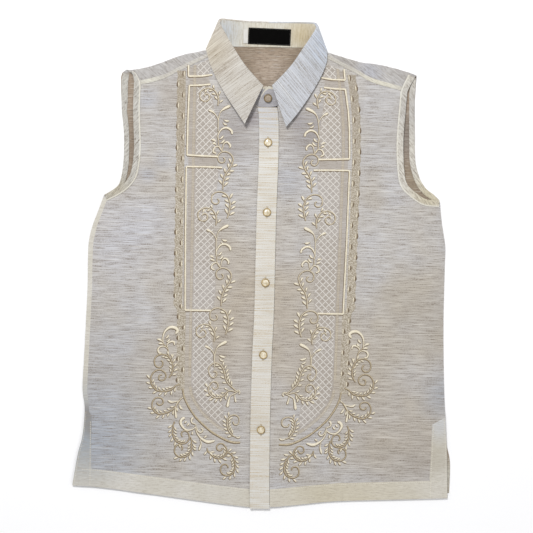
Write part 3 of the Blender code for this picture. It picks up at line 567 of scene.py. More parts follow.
# %% Back panel
HEM = (
    # x, y
    (-HALF_WIDTH, -335.5), (-243.5, -337.3), (-158.5, -347.2), (-60.5, -359.2), (-15.5, -363.6),
    (23.5, -362.6), (63.5, -358), (113.5, -352.5), (208.5, -348.5), (279.8, -345.5),
)
ARMHOLE_FRONT = {
    # x, y, from the yoke seam down to the underarm
    -1: (
        (-200.5, 264.5), (-201, 226.5), (-198.7, 172.5), (-202.6, 136.5), (-212.8, 120), (-226, 110),
        (-242.5, 101.5),
    ),
    1: (
        (209.5, 263), (207.2, 231.5), (204.7, 188.5), (206.3, 150.5), (210.2, 127), (219.7, 116),
        (232, 106.8), (241.5, 102.4), (260.5, 101),
    ),
}
ARMHOLE_BACK = {
    # x, y, from the back yoke seam down to the underarm
    -1: (
        (-218.3, 226.5), (-215.8, 207), (-214.4, 190), (-214.1, 164), (-215.3, 143.5), (-219.6, 120.8),
        (-227.7, 110.8), (-242.5, 101.5),
    ),
    1: (
        (221.5, 226.5), (222, 202.5), (222.7, 170), (224.4, 154.5), (227.8, 142), (232.6, 129.5),
        (241, 117.8), (251.5, 110), (260.5, 101.5),
    ),
}
BACK_CORNERS = {
    # x, y at the hem
    -1: ((-281, -333),),
    1: ((282.5, -286), (HALF_WIDTH, -306), (282.5, -338)),
}
BACK_HEM_HIGHER = 3.0  # so the fronts' hem hides it
EDGE_STEP, FRONT_STEP, BACK_STEP = 5.0, 5.0, 9.0  # how finely edges and panels are divided


def edge(points):
    """A smooth cut edge through the rows of a table."""
    return evenly(smooth_curve(points), EDGE_STEP)


def panel(name, outline, lines, step, top, materials, stands_for, region=None):
    """A cut piece whose upper face is a height function, and whose regions of finish depend on the place."""
    places, triangles = fill(outline, lines, step)
    high = top(places[:, 0], places[:, 1])
    points = np.concatenate([np.column_stack([places, high]), np.column_stack([places, high - CLOTH])])
    faces = close_wall(triangles.tolist(), len(places))
    regions = None
    if region is not None:
        middle = places[triangles].mean(axis=1)
        found = region(middle[:, 0], middle[:, 1]).astype(int)
        regions = np.concatenate([found, found, np.zeros(len(faces) - 2 * len(found), int)])
    piece = add_piece(name, points, faces, materials, "cloth", stands_for, regions)
    print(f"{name}: {len(faces)} faces")
    return piece


def plan_area(outline):
    """The flat area of an outline, in square metres."""
    x, y = np.array(outline, float)[:, :2].T * MM
    return abs(np.sum(x * np.roll(y, -1) - y * np.roll(x, -1))) / 2


back_right_side = edge([(x, y) for y, x, _ in SIDES[:-1]] + [BACK_CORNERS[-1][-1]])
back_left_side = edge([(x, y) for y, _, x in SIDES[:-2]] + list(BACK_CORNERS[1]))
back_hem = edge([(x, y + BACK_HEM_HIGHER) for x, y in HEM[1:-1]])
back_arm_right, back_arm_left = edge(ARMHOLE_BACK[-1]), edge(ARMHOLE_BACK[1])
back_outline = np.vstack(
    [back_arm_right, back_right_side[1:], back_hem, back_left_side[::-1], back_arm_left[-2::-1]]
)
back_panel = panel(
    "back_panel_cloth",
    back_outline,
    [],
    BACK_STEP,
    lambda x, y: back_low(x, y) + CLOTH,
    [inside_cloth],
    "back_panel",
)

# %% [markdown]
# ## Where the embroidery goes
#
# The embroidered panel, the pechera, is laid out before the fronts are made, since the cloth inside it is
# drawn and looks darker and more sheer. Its places are (distance from the middle, y) and serve both fronts:
# the right one mirrored, the left one a little further out and leaning by one degree, as it was sewn.

# %% Layout of the embroidered panel
YOKE_SEAM = (
    # distance from the middle, y
    (78, 315.7), (92, 309), (134, 288.5), (157, 276.5), (200.5, 264.9), (212, 262.5),
)
FRAMES = (
    # rows of (distance from the middle, y), each one frame of cord
    ((119.2, 297.5), (118.9, 281.2), (100, 281.6), (83.2, 284.2)),
    ((85.8, 269.6), (102, 267.8), (117.4, 267.4), (118.6, 215), (119, 163), (97, 162), (72.3, 161.3)),
    ((66, 145.1), (92, 145.6), (119.9, 145.5), (119.6, 40), (118.2, -69.7), (98, -69.8), (79.9, -69.6)),
)
CURVE = (
    # distance from the middle, y
    (119.8, -187), (118, -197.5), (113, -209.5), (106.5, -220.3), (98.9, -230.4), (88, -240.9),
    (75.5, -251.4), (63.1, -258.6), (50.6, -264.6), (40.2, -266.9), (31.2, -266.5),
)
LATTICE_OUTER, LATTICE_IN = 107.0, 15.0  # its outer side, and how far inside the curve it ends
LATTICE_INNER = (
    # distance from the middle, y
    (80, 306), (88, 286), (86, 268), (80, 236), (73.5, 200), (76, 168), (72, 140), (74, 112), (82, 88),
    (78, 62), (75, 30), (77, 0), (73, -30), (75, -60), (84, -90), (76, -120), (74, -150), (72, -180),
    (60, -205), (57, -246),
)
DRAWN_OUTER = (
    # distance from the middle, y
    (107.5, -180), (107.5, -78), (117, -70), (117, 294),
)
DRAWN_CORNER, DRAWN_IN = (83.0, 309.5), 13.0  # its upper inner corner, and how far inside the curve it ends
LEFT_LOWER = 2.0
LEFT_LEAN = (
    # y, how much further out the left front's embroidery lies
    (300, -5.2), (289, -4), (262, 0), (235, 3.4), (208, 5), (170, 5.6), (158, 5.3), (-312, -4.5),
)


def arc(grow=0.0):
    """The curve under the lattice, moved outwards by some millimetres."""
    return beside(evenly(smooth_curve(CURVE), 2.3), grow)


def turned_left(side, points):
    """Garment places of a motif drawn as (distance from the middle, y), on the right (-1) or left (1)."""
    points = np.array(points, float).reshape(-1, 2)
    if side < 0:
        return points * (-1, 1)
    further = read_table(LEFT_LEAN, points[:, 1])
    return np.stack([points[:, 0] + further, points[:, 1] - LEFT_LOWER], axis=1)


def drawn_outline(side):
    """The outline of the drawn, darker cloth of a front."""
    inner = edge(LATTICE_INNER)
    low = [p for p in arc(-DRAWN_IN)[::-2] if p[0] > inner[-1, 0] + 4]
    outer = evenly(DRAWN_OUTER, EDGE_STEP)
    top = evenly([DRAWN_OUTER[-1], DRAWN_CORNER], EDGE_STEP)[1:]
    return turned_left(side, np.vstack([inner, low, outer, top]))


# %% [markdown]
# ## The fronts
#
# Each front is cut to the centre, the neckline, the yoke seam, the armhole, the side and the hem. The hem is
# turned up 27 mm and the slit is faced 26 mm; the right side seam's allowance lies under the edge. There the
# cloth is double, so it looks lighter and more solid. The fill keeps those edges, and the outline of the
# drawn cloth, as lines of its mesh, and the faces past them get another finish.

# %% Fronts
NECKLINE = (
    # distance from the middle, y
    (27, 251.5), (47, 276.5), (66, 300.5),
)
BAND_TOP_Y = 236.3
HEM_WIDTH = 27.0
TURN_UP_FROM, TURN_UP_TO = 16.0, 272.0  # where the turned-up edge runs, from the middle
FACINGS = {
    # y, distance of the facing's inner edge from the middle
    -1: ((-238.0, 255.5), (-320.0, 255.0)),
    1: ((-238.0, 255.2), (-315.0, 252.4)),
}
FACING_X = 255.0  # about where its inner edge meets the hem
FACING_SLANT = 0.55  # how the facing's top slants down from the side
SEWN_GAP = 0.35  # from a front's cloth to the yoke and to the band's sewn edge
RIGHT_CENTRE_X = 13.0  # the right front runs on this far, under the band
NECK_START = (14.5, 238.4)
ALLOWANCE = 7.0
TURNED_STEP = 0.35  # how much higher the double cloth lies
SIDE_NAMES = {-1: "right", 1: "left"}


def seam_line(side):
    """The yoke's front seam, from the neckline out to the armhole."""
    outer = abs(ARMHOLE_FRONT[side][0][0])
    rows = [row for row in YOKE_SEAM if row[0] < outer]
    rows.append((outer, float(read_table(YOKE_SEAM, outer))))
    return edge([(side * x, y) for x, y in rows])


def hem_y(x):
    return read_table(HEM, x)


def facing_x(y, side):
    """The inner edge of the slit's facing."""
    return side * read_table(FACINGS[side], y)


def double_layer(x, y):
    """Where a front is double: the turned-up hem and the facing of the slit."""
    inwards = np.where(x < 0, x - side_x(y, -1), side_x(y, 1) - x)
    facing_top = SLIT_TOP_Y - np.abs(inwards) * FACING_SLANT
    facing = np.abs(x) > np.where(x < 0, np.abs(facing_x(y, -1)), facing_x(y, 1))
    seam = (inwards < ALLOWANCE) & (y < UNDERARM_Y - 3) & (x < 0)
    return (y < hem_y(x) + HEM_WIDTH) | (facing & (y < facing_top)) | seam


def front_piece(side):
    """One front as a piece of cloth, and its outline."""
    seam = seam_line(side) - (0, SEWN_GAP)
    arm = edge([tuple(seam[-1]), *ARMHOLE_FRONT[side][1:]])
    column = 1 if side < 0 else 2
    sides = [(row[column], row[0]) for row in SIDES]
    if side > 0:
        sides[-1] = HEM[-1]
    sides = edge(sides)
    hem_rows = HEM[:5] if side < 0 else HEM[:4:-1]
    hem = edge(hem_rows)[:-1]
    centre_x = RIGHT_CENTRE_X if side < 0 else BAND_HALF + SEWN_GAP
    hem = np.vstack([hem, [(centre_x, hem_rows[-1][1])]])
    centre = evenly([hem[-1], (centre_x, BAND_TOP_Y)], EDGE_STEP)
    neck = edge([(side * d, y) for d, y in (NECK_START, *NECKLINE)])
    outline = np.vstack([centre, neck, seam, arm[1:], sides[1:], hem[1:-1]])
    turn_up_x = np.linspace(*sorted((side * TURN_UP_FROM, side * TURN_UP_TO)), 56)
    turn_up = [(x, hem_y(x) + HEM_WIDTH) for x in turn_up_x]
    facing_low = hem_y(side * FACING_X) + HEM_WIDTH + 2
    facing_high = SLIT_TOP_Y - FACING_SLANT * abs(side_x(-236.0, side) - facing_x(-236.0, side))
    facing = [(facing_x(y, side), y) for y in np.linspace(facing_low, facing_high, 20)]
    facing.append((side_x(SLIT_TOP_Y, side) - side * 1.5, SLIT_TOP_Y - 1))
    lines = [turn_up, facing]
    if side < 0:
        seam_y = np.linspace(SLIT_TOP_Y, UNDERARM_Y - 3, 60)
        lines.append([(side_x(y, side) + ALLOWANCE, y) for y in seam_y])
    drawn = drawn_outline(side)

    def finish_number(x, y):
        in_drawn = inside(np.stack([x, y], axis=1), drawn)
        return np.where(double_layer(x, y), 1, np.where(in_drawn, 2, 0))

    made = panel(
        f"front_{SIDE_NAMES[side]}_cloth",
        outline,
        [*lines, np.vstack([drawn, drawn[:1]])],
        FRONT_STEP,
        lambda x, y: front_top(x, y) + TURNED_STEP * double_layer(x, y),
        [single_cloth, double_cloth, drawn_ground],
        f"front_{SIDE_NAMES[side]}",
        finish_number,
    )
    return made, outline


front_right, right_outline = front_piece(-1)
front_left, left_outline = front_piece(1)

# %% [markdown]
# ## The yoke
#
# The yoke is one piece over both shoulders: its back layer lies on the table, it folds at the shoulder line
# and comes some 20 mm over to the front seam. It is filled as it is cut, flat, and then bent round the fold,
# so its weave follows the bend. That is truer than joining two layers, because the real one has no seam
# there.

# %% Yoke
YOKE_BACK_Y = 226.5
SHOULDER = {
    # distance from the middle, y, on the right (-1) and the left (1)
    -1: (
        (0, 390), (84, 322.8), (96, 320.6), (105, 318.3), (122.5, 315.4), (140.5, 309.5), (158.5, 302),
        (176, 295.8), (194, 291.4), (204, 290.2), (212.5, 290.4), (221, 285.5),
    ),
    1: (
        (0, 390), (84, 322.3), (92, 319.5), (120, 312), (139, 306.8), (148, 305.6), (157, 305.2),
        (175, 302.2), (193, 298), (220, 290.4), (224, 288),
    ),
}
# The yoke's armhole end: down to the fold in front, at the fold, and behind it.
YOKE_END = {
    # (distance from the middle, y) rows before the fold, distance on the fold, rows behind it
    -1: (
        ((200.3, 273.5), (202.1, 281.6), (205.6, 286.4)),
        212.5,
        ((218.6, 285.5), (220.5, 279), (220.3, 262)),
    ),
    1: (((211.9, 268.8), (216.6, 277.8), (221, 286)), 223.2, ((223.3, 284), (222.4, 272), (221.5, 250))),
}
YOKE_NECK_BACK = (
    # distance from the middle, y, along the back of the neck
    (19, 326.5), (38, 326.5), (58, 326.5), (72, 325.8), (79.5, 323.4), (82.4, 318.8),
)
NECK_AT_FOLD, NECK_PAST_FOLD = 83.4, 82.0  # distances from the middle, on the fold and half way to the seam
QUARTER = math.pi * SHOULDER_BEND / 2


def fold_middle_y(x):
    """The centre of the shoulder fold's bend."""
    right, left = (read_table(SHOULDER[side], np.abs(x)) for side in (-1, 1))
    return np.where(np.asarray(x) < 0, right, left) - SHOULDER_BEND - CAD_WALL / 2


def yoke_around(x, y, layer):
    """The distance round the shoulder of a place on the front (1) or back (-1) layer."""
    return layer * (fold_middle_y(x) - y + QUARTER)


def yoke_surface(x, around):
    """Mid cloth of the yoke at a distance round the shoulder: forwards above 0, to the back below it."""
    middle_y = fold_middle_y(x)
    low = CAD_WALL / 2
    angle = np.clip(around, -QUARTER, QUARTER) / SHOULDER_BEND
    flat = np.maximum(np.abs(around) - QUARTER, 0)
    y = middle_y + SHOULDER_BEND * np.cos(angle) - flat
    base = back_low(x, np.minimum(y, middle_y))
    bent = base + SHOULDER_BEND * (1 + np.sin(angle))
    start = back_low(x, middle_y) + 2 * SHOULDER_BEND
    to_front = smooth_step((around - QUARTER) / 14)
    front = start + to_front * (front_top(x, y) - CAD_WALL - start)
    z = low + np.where(around > QUARTER, front, bent)
    return np.column_stack([x, y, z])


def yoke_outline():
    """The yoke laid open, as x and distance round the shoulder."""
    sides = {}
    seam_x, seam_y = YOKE_SEAM[0]
    for side in (-1, 1):
        rows = [(side * d, float(yoke_around(side * d, y, -1))) for d, y in YOKE_NECK_BACK]
        rows.append((side * NECK_AT_FOLD, 0.0))
        rows.append((side * NECK_PAST_FOLD, 0.55 * float(yoke_around(side * seam_x, seam_y, 1))))
        rows += [(x, float(yoke_around(x, y, 1))) for x, y in seam_line(side)]
        before, fold_end, behind = YOKE_END[side]
        rows += [(side * d, float(yoke_around(side * d, y, 1))) for d, y in before]
        rows.append((side * fold_end, 0.0))
        rows += [(side * d, float(yoke_around(side * d, y, -1))) for d, y in behind]
        end_x = ARMHOLE_BACK[side][0][0]
        rows.append((end_x, float(yoke_around(end_x, YOKE_BACK_Y, -1))))
        sides[side] = rows
    base = [(x, float(yoke_around(x, YOKE_BACK_Y, -1))) for x in np.linspace(-205, 205, 60)]
    return np.array(sides[-1][::-1] + sides[1] + base[::-1])


YOKE_TURN = 6.5  # width of the turned edge along the front seam
yoke_cut = yoke_outline()
bend_lines = []
for side in (-1, 1):
    for around in np.linspace(-QUARTER, QUARTER, 7):
        bend_lines.append([(side * d, around) for d in np.linspace(88, 200 if side < 0 else 212, 26)])
    turn_line = [(x, float(yoke_around(x, y, 1)) - YOKE_TURN) for x, y in seam_line(side)[2:-2]]
    bend_lines.append([(x, around) for x, around in turn_line if around > QUARTER + 0.5])
places, triangles = fill(yoke_cut, bend_lines, 5.0)
triangles = triangles[:, ::-1]  # seen from outside, the distance round the shoulder runs down
middle = yoke_surface(places[:, 0], places[:, 1])
a, b, c = (middle[triangles[:, corner]] for corner in range(3))
turns = np.cross(b - a, c - a)
turns /= np.maximum(np.linalg.norm(turns, axis=1, keepdims=True), 1e-9)
outwards = np.zeros_like(middle)
for corner in range(3):
    np.add.at(outwards, triangles[:, corner], turns)
outwards /= np.maximum(np.linalg.norm(outwards, axis=1, keepdims=True), 1e-9)
faces = close_wall(triangles.tolist(), len(places))
at = places[triangles].mean(axis=1)
to_seam = yoke_around(at[:, 0], read_table(YOKE_SEAM, np.abs(at[:, 0])), 1) - at[:, 1]
outside = np.where((to_seam < YOKE_TURN) & (at[:, 1] > 0), 2, 0)
lining = (at[:, 1] < 0).astype(int)
yoke = add_piece(
    "yoke_cloth",
    np.concatenate([middle + outwards * CLOTH / 2, middle - outwards * CLOTH / 2]),
    faces,
    [yoke_cloth, inside_cloth, yoke_edge_cloth],
    "cloth",
    "yoke",
    np.concatenate([outside, lining, np.zeros(len(faces) - 2 * len(lining), int)]),
)
print("yoke:", len(triangles), "triangles a side")

# %% [markdown]
# ## The armhole bindings
#
# Each armhole edge is bound with a strip cut on the bias, which can follow the curve without pleats. On the
# fronts it lies outside, on the back inside, so both show from the front; the inside ones show 2 mm narrower.
# The strip is made from the armhole edge's own points, moved in by its width, and rises a little in the
# middle, where its folded edges meet inside it.

# %% Bindings
BINDING_WIDTHS = {"right_front": 10.0, "left_front": 10.0, "right_back": 7.6, "left_back": 8.3}
BINDING_GAP = 0.15
BINDING_CROWN, BINDING_RIPPLE, FOLD_RIDGE = 0.45, 0.12, 0.3
BINDING_ON_YOKE = {
    # outer distance from the middle, y, inner distance from the middle, y
    "right_front": (
        (209.5, 287, 203, 287.2), (205.2, 285.6, 198.5, 284.5), (202, 281, 194.6, 278),
        (200.5, 273, 191.4, 271),
    ),
    "left_front": ((220.4, 284.6, 211, 289), (215.6, 276, 206.5, 280), (212.2, 269.4, 203, 272.5)),
    "right_back": ((217.2, 285.2, 208.3, 282.6), (219.5, 274, 209.8, 271), (219, 243, 210, 243.5)),
    "left_back": ((222.6, 284.4, 215.4, 283.4), (221.2, 262, 213, 262), (221.2, 243, 213, 243.5)),
}


def shirt_top(x, y):
    """The upper face of the fronts and of the yoke's strip above their seam."""
    x, y = np.asarray(x, float).ravel(), np.asarray(y, float).ravel()
    on_yoke = yoke_surface(x, yoke_around(x, y, 1))[:, 2] + CAD_WALL / 2
    return np.where(y > read_table(YOKE_SEAM, np.abs(x)), on_yoke, front_top(x, y))


def back_top(x, y):
    return back_low(np.asarray(x, float), np.asarray(y, float)) + CAD_WALL


def binding(side, layer, armhole, top, finish):
    """A bias strip along an armhole edge."""
    name = f"{SIDE_NAMES[side]}_{layer}"
    over = BINDING_ON_YOKE[name]
    inner = beside(np.array(armhole), -side * BINDING_WIDTHS[name])
    outer_line = np.vstack([[(side * x, y) for x, y, _, _ in over], armhole])
    inner_line = np.vstack([[(side * x, y) for _, _, x, y in over], inner])
    outer_line, inner_line = smooth_curve(outer_line, 2), smooth_curve(inner_line, 2)
    across = np.array([0.0, 0.08, 0.2, 0.4, 0.6, 0.8, 0.87, 0.94, 1.0])
    plan = outer_line[:, None] + (inner_line - outer_line)[:, None] * across[None, :, None]
    crown = BINDING_CROWN * np.sin(np.pi * across) ** 0.6
    folded = np.zeros(8, int)
    if layer == "front":
        crown += FOLD_RIDGE * np.exp(-(((across - 0.91) / 0.05) ** 2))
        folded[5:] = 1
    ripple = BINDING_RIPPLE * np.sin(np.arange(len(plan)) * 1.9)[:, None] * np.sin(np.pi * across)[None]
    z = top(plan[..., 0].ravel(), plan[..., 1].ravel()).reshape(plan.shape[:2]) + BINDING_GAP + TRIM / 2
    grid = np.dstack([plan, z + crown[None] + ripple])
    if normals_of(grid)[0, 4, 2] < 0:
        grid, folded = grid[:, ::-1], folded[::-1]
    made = grid_piece(
        f"binding_{name}",
        grid,
        TRIM,
        [finish, bias_fold],
        "binding",
        f"armhole_binding_{name}",
        np.tile(folded, len(plan) - 1),
    )
    return made, outer_line, inner_line


bindings, binding_edges = [], {}
for side, finish in ((-1, bias_right), (1, bias_left)):
    for layer, armholes, top in (("front", ARMHOLE_FRONT, shirt_top), ("back", ARMHOLE_BACK, back_top)):
        rows = list(armholes[side])
        if layer == "front":
            rows[0] = tuple(seam_line(side)[-1] - (0, SEWN_GAP))
        made, outer_line, inner_line = binding(side, layer, edge(rows), top, finish)
        bindings.append(made)
        binding_edges[made.name] = (outer_line, inner_line)
print("bindings:", [b.name for b in bindings])

# %% [markdown]
# ## The front band
#
# The band is a strip folded double and stiffened, so it is the whitest, flattest part of the shirt. It lies
# on the wearer's right front with its free folded edge, and is sewn to the left front at its other edge. Its
# long edges are rounded where the cloth folds, and it has a slight wave of its own.

# %% Band
BAND_WALL = 1.3
BAND_BOTTOM_Y = -365.5
FREE_LIFT = 0.8  # how far the free edge stands off the cloth below


def band_under(y):
    """What the band lies on, along its middle."""
    return front_top(np.full(len(y), -0.5), np.maximum(y, HEM[4][1]))


stations = np.linspace(BAND_BOTTOM_Y, BAND_TOP_Y, 151)
# Places across the band as shares of its half width, and how much of the wall is rounded off at each.
across = np.array([-1.0, -0.985, -0.93, -0.8, -0.5, 0.0, 0.5, 0.8, 0.93, 0.985, 1.0])
rounded = np.array([0.5, 0.24, 0.07, 0.0, 0.0, 0.0, 0.0, 0.0, 0.05, 0.2, 0.45])
wave = 0.25 * np.sin(stations / 31) + 0.15 * np.sin(stations / 13 + 1)
lean = 0.5 * np.sin(stations / 95 + 0.6)
under = band_under(stations) + SEAM + wave * 0.5 + 0.2
band_x = BAND_HALF * across[None] + lean[:, None] * (1 - np.abs(across[None]))
band_y = np.repeat(stations[:, None], len(across), axis=1)
free_edge = FREE_LIFT * smooth_step((-across[None] - 0.55) / 0.45)
band_high = under[:, None] + free_edge + BAND_WALL - rounded[None] * BAND_WALL
band_low = under[:, None] + free_edge + rounded[None] * 0.6 * BAND_WALL
band_layers = [np.dstack([band_x, band_y, z]).reshape(-1, 3) for z in (band_high, band_low)]
band_faces = grid_faces(*band_x.shape)[:, ::-1]
band = add_piece(
    "band_cloth",
    np.concatenate(band_layers),
    close_wall(band_faces.tolist(), band_x.size),
    [band_cloth],
    "band",
    "placket",
    sharp=60,
)


def band_top(y):
    """The band's upper face along its middle."""
    return np.interp(y, stations, under + BAND_WALL)


print("band:", len(band_faces), "faces")

# %% [markdown]
# ## The collar
#
# A shirt collar is two pieces: the stand, which runs round the neck, and the fall, which is folded over it
# and ends in two pointed leaves. Laid flat, the folded collar leans back behind the neck and lies forwards
# over the fronts. It is lofted through sections from the middle of the back to the leaf's point. Each section
# gives the neckline, the fold and the fall's edge, and the fold has a real roll of cloth in it, which is what
# makes a collar look soft.

# %% Collar
COLLAR_WALL = 1.3
CAD_COLLAR_WALL = 1.5
ROLL = 1.4
FALL_START = 0.5
STAND_SHORT = 0.6  # of the fall, along the roll
LEAF_CROWN = 1.2
LAP = 1.9  # how much higher one end of the stand lies on the other
POINT_LIFT = {-1: 6.0, 1: 1.0}  # of the leaves' points off the fronts
LEAF_TOP_Y, LEAF_TOP_REACH = 322.0, 22.0
COLLAR = (
    # neck x, y, z, fold x, y, z, edge x, y, z, inward x, y, z
    ((0, 327, 2.95), (0, 365.6, 2.3), (0, 317.5, 0.85), (0, 0, 1)),
    ((34, 327, 2.95), (34, 366.4, 2.3), (35, 317.5, 0.85), (0, 0, 1)),
    ((58, 327, 2.95), (58, 368.2, 2.3), (62, 317.8, 0.85), (0, 0, 1)),
    ((73, 326.6, 3), (67, 369.2, 2.5), (80, 318.8, 0.85), (-0.25, 0, 1)),
    ((79.5, 324.9, 3.3), (71.8, 368.4, 3.7), (89, 323.2, 1.4), (-0.8, -0.2, 0.7)),
    ((82.2, 323.9, 4.6), (73.4, 366, 5.7), (92.2, 324, 4.4), (-1, -0.4, 0)),
    ((80.6, 319.9, 6.3), (73, 360.6, 9.3), (92.4, 318.6, 8.6), (-0.7, -0.3, -0.6)),
    ((76, 313.9, 6.2), (66.4, 348.4, 14), (87.8, 303, 8.5), (-0.3, -0.1, -1)),
    ((65.3, 301, 5.5), (53.5, 326.5, 17.5), (78.5, 281.5, 7.9), (0, 0, -1)),
    ((46.4, 277, 3.9), (35.5, 299.5, 17), (62, 252.5, 8.3), (0, 0, -1)),
    ((26.5, 252, 4.1), (18.5, 280.5, 14.5), (44.5, 226.5, 9.6), (0, 0, -1)),
    ((15.5, 239.2, 4.9), (6.5, 268.5, 12.3), (33.3, 209.5, 12), (0, 0, -1)),
)
# Where the left half of the collar lies otherwise.
LEFT_FOLD = {
    # row of COLLAR: fold x, y, z
    1: (34.0, 366.0, 2.3),
    2: (58.0, 365.8, 2.3),
    3: (65.5, 365.6, 2.5),
    4: (69.3, 364.9, 3.7),
    5: (70.8, 362.8, 5.7),
    6: (71.8, 357.6, 9.3),
    7: (66.2, 346.6, 14.0),
}
LEFT_EDGE = {
    # row of COLLAR: edge x, y, z
    4: (85.4, 323.2, 1.4),
    5: (87.0, 324.4, 4.4),
    6: (88.2, 317.4, 8.8),
    7: (87.0, 303.0, 8.5),
    11: (28.4, 206.8, 12.0),
}
STAND_END = (
    # neck x, y, top x, y
    (6, 236.8, 1.5, 267.5), (-3, 236.8, -4, 262.5), (-9, 236.8, -9, 254), (-13.5, 237.2, -13, 243.5),
)
PIECES = 8  # sections made between two rows of the table


def unit(v):
    return v / np.maximum(np.linalg.norm(v, axis=-1, keepdims=True), 1e-9)


def collar_sections(side):
    """(neck, fold, edge, inward) arrays from the middle of the back to the leaf's point."""
    columns = [list(column) for column in zip(*COLLAR)]
    if side > 0:
        for number, fold in LEFT_FOLD.items():
            columns[1][number] = fold
        for number, outer in LEFT_EDGE.items():
            columns[2][number] = outer
    neck, fold, outer, inward = (smooth_curve(column, PIECES) for column in columns)
    number = np.arange(len(neck)) / PIECES * 2  # in half rows of the table
    last = number[-1]
    lap = side * LAP / 2 * smooth_step((number - last + 3) / 3)
    neck[:, 2] += lap
    fold[:, 2] += lap
    outer[:, 2] += POINT_LIFT[side] * smooth_step((number - last + 6) / 6)
    return neck, fold, outer, inward


def fold_frame(neck, fold, outer, inward):
    """(centre of the roll, outward direction, direction to the stand) in each section."""
    outward = -unit(unit(neck - fold) + unit(outer - fold))
    to_stand = unit(inward - outward * np.sum(inward * outward, axis=1, keepdims=True))
    return fold - outward * (ROLL + CAD_COLLAR_WALL / 2), outward, to_stand


def both_sides(half):
    """Rows of one grid from two halves that start at the middle of the back; the right one is mirrored."""
    right, left = half(-1), half(1)
    right = right * (-1, 1, 1)
    return np.concatenate([right[::-1], left[1:]])


def fall_half(side):
    neck, fold, outer, inward = collar_sections(side)
    centre, outward, to_stand = fold_frame(neck, fold, outer, inward)
    rows = [centre + to_stand * ROLL - outward * FALL_START]
    for angle in np.radians(np.linspace(-75, 75, 9)):
        rows.append(centre + (outward * math.cos(angle) - to_stand * math.sin(angle)) * ROLL)
    start = centre - to_stand * ROLL
    in_front = smooth_step((LEAF_TOP_Y - outer[:, 1:2]) / LEAF_TOP_REACH)
    for share in np.linspace(0.03, 1.0, 15):
        crown = LEAF_CROWN * math.sin(math.pi * share) * in_front
        rows.append(start + (outer - start) * share - to_stand * crown)
    return np.stack(rows, axis=1)


fall_grid = both_sides(fall_half)
fall_rows, fall_columns = fall_grid.shape[:2]
face_row = np.repeat(np.arange(fall_rows - 1), fall_columns - 1)
from_middle = face_row - (fall_rows - 1) / 2
fall_regions = np.where(from_middle < 0, 0, 1)
fall = grid_piece(
    "collar_fall_cloth",
    fall_grid,
    COLLAR_WALL,
    [leaf_right_cloth, leaf_left_cloth],
    "collar",
    "collar_fall",
    fall_regions,
)


def stand_half(side):
    neck, fold, outer, inward = collar_sections(side)
    centre, outward, to_stand = fold_frame(neck, fold, outer, inward)
    seam = centre + to_stand * ROLL - outward * STAND_SHORT
    shares = np.linspace(0, 1, 9)
    grid = neck[:, None] + (seam - neck)[:, None] * shares[None, :, None]
    full = COLLAR[-1][1][1] - COLLAR[-1][0][1]
    neck_z, top_z = neck[-1, 2], seam[-1, 2]
    ends = []
    for neck_x, neck_y, top_x, top_y in smooth_curve(STAND_END, 3):
        height = neck_z + (top_z - neck_z) * (top_y - neck_y) / full
        low, high = np.array((neck_x, neck_y, neck_z)), np.array((top_x, top_y, height))
        ends.append(low + (high - low) * shares[:, None])
    return np.concatenate([grid, np.stack(ends)])


stand_grid = both_sides(stand_half)
face_middle = (stand_grid[:-1, :-1] + stand_grid[1:, 1:]) / 2
# The front ends of the stand take the finish of painted shade, since they lie under the collar's points.
painted_shade_front = ((face_middle[..., 1] < 275) & (np.abs(face_middle[..., 0]) < 24)).astype(int)
painted_shade_front[:, -1] = 0  # the turned edge on top is as light as the rest of the stand
stand = grid_piece(
    "collar_stand_cloth",
    stand_grid,
    COLLAR_WALL,
    [stand_cloth, stand_end_shade_cloth],
    "collar",
    "collar_stand",
    painted_shade_front.ravel(),
)
print("collar:", fall_grid.shape, stand_grid.shape)

# %% [markdown]
# ## Label and size tab
#
# A woven label is sewn inside the neck with a small tab beside it. Both are bare here: dense black satin and
# white tape, with their weave and nothing written on them.

# %% Label and tab
LABEL_SIZE, LABEL_CENTRE = (63.6, 24.5), (1.5, 342.5)
TAB_SIZE, TAB_CENTRE = (6.5, 21.0), (-34.3, 342.5)


def satin_tape(name, light, dark, thread, roughness):
    """Woven satin: fine upright threads, too fine to show, drawn about 1 mm apart."""
    made, tree, shader = new_finish(name, roughness=roughness)
    shader.inputs["Specular IOR Level"].default_value = 0.02
    place = add_node(tree, "TexCoord").outputs["Object"]
    laid = add_node(tree, "Mapping", Vector=place, Scale=(1000 / thread, 1000 / (thread * 9), 40))
    threads = add_node(tree, "TexNoise", Vector=laid.outputs["Vector"], Scale=1.0, Detail=2.0)
    tones = {"_6": linear(dark), "_7": linear(light)}
    tone = add_node(tree, "Mix", COLOUR_MIX, _0=threads.outputs["Fac"], **tones)
    bump = add_node(tree, "Bump", Strength=0.4, Distance=0.2 * MM, Height=threads.outputs["Fac"])
    tree.links.new(tone.outputs[2], shader.inputs["Base Color"])
    tree.links.new(bump.outputs["Normal"], shader.inputs["Normal"])
    return made


label_satin = satin_tape("black_label_satin", "#0C0B0A", "#030303", 1.0, 0.7)
tab_satin = satin_tape("white_tab_satin", "#DDDBD5", "#BFBDB8", 0.9, 0.6)


def stand_mid_z(y):
    """Mid cloth of the stand at the middle of the back."""
    neck, fold = COLLAR[0][:2]
    top_y = fold[1] - ROLL - CAD_COLLAR_WALL / 2 - STAND_SHORT
    return neck[2] + (fold[2] + ROLL - neck[2]) * (y - neck[1]) / (top_y - neck[1])


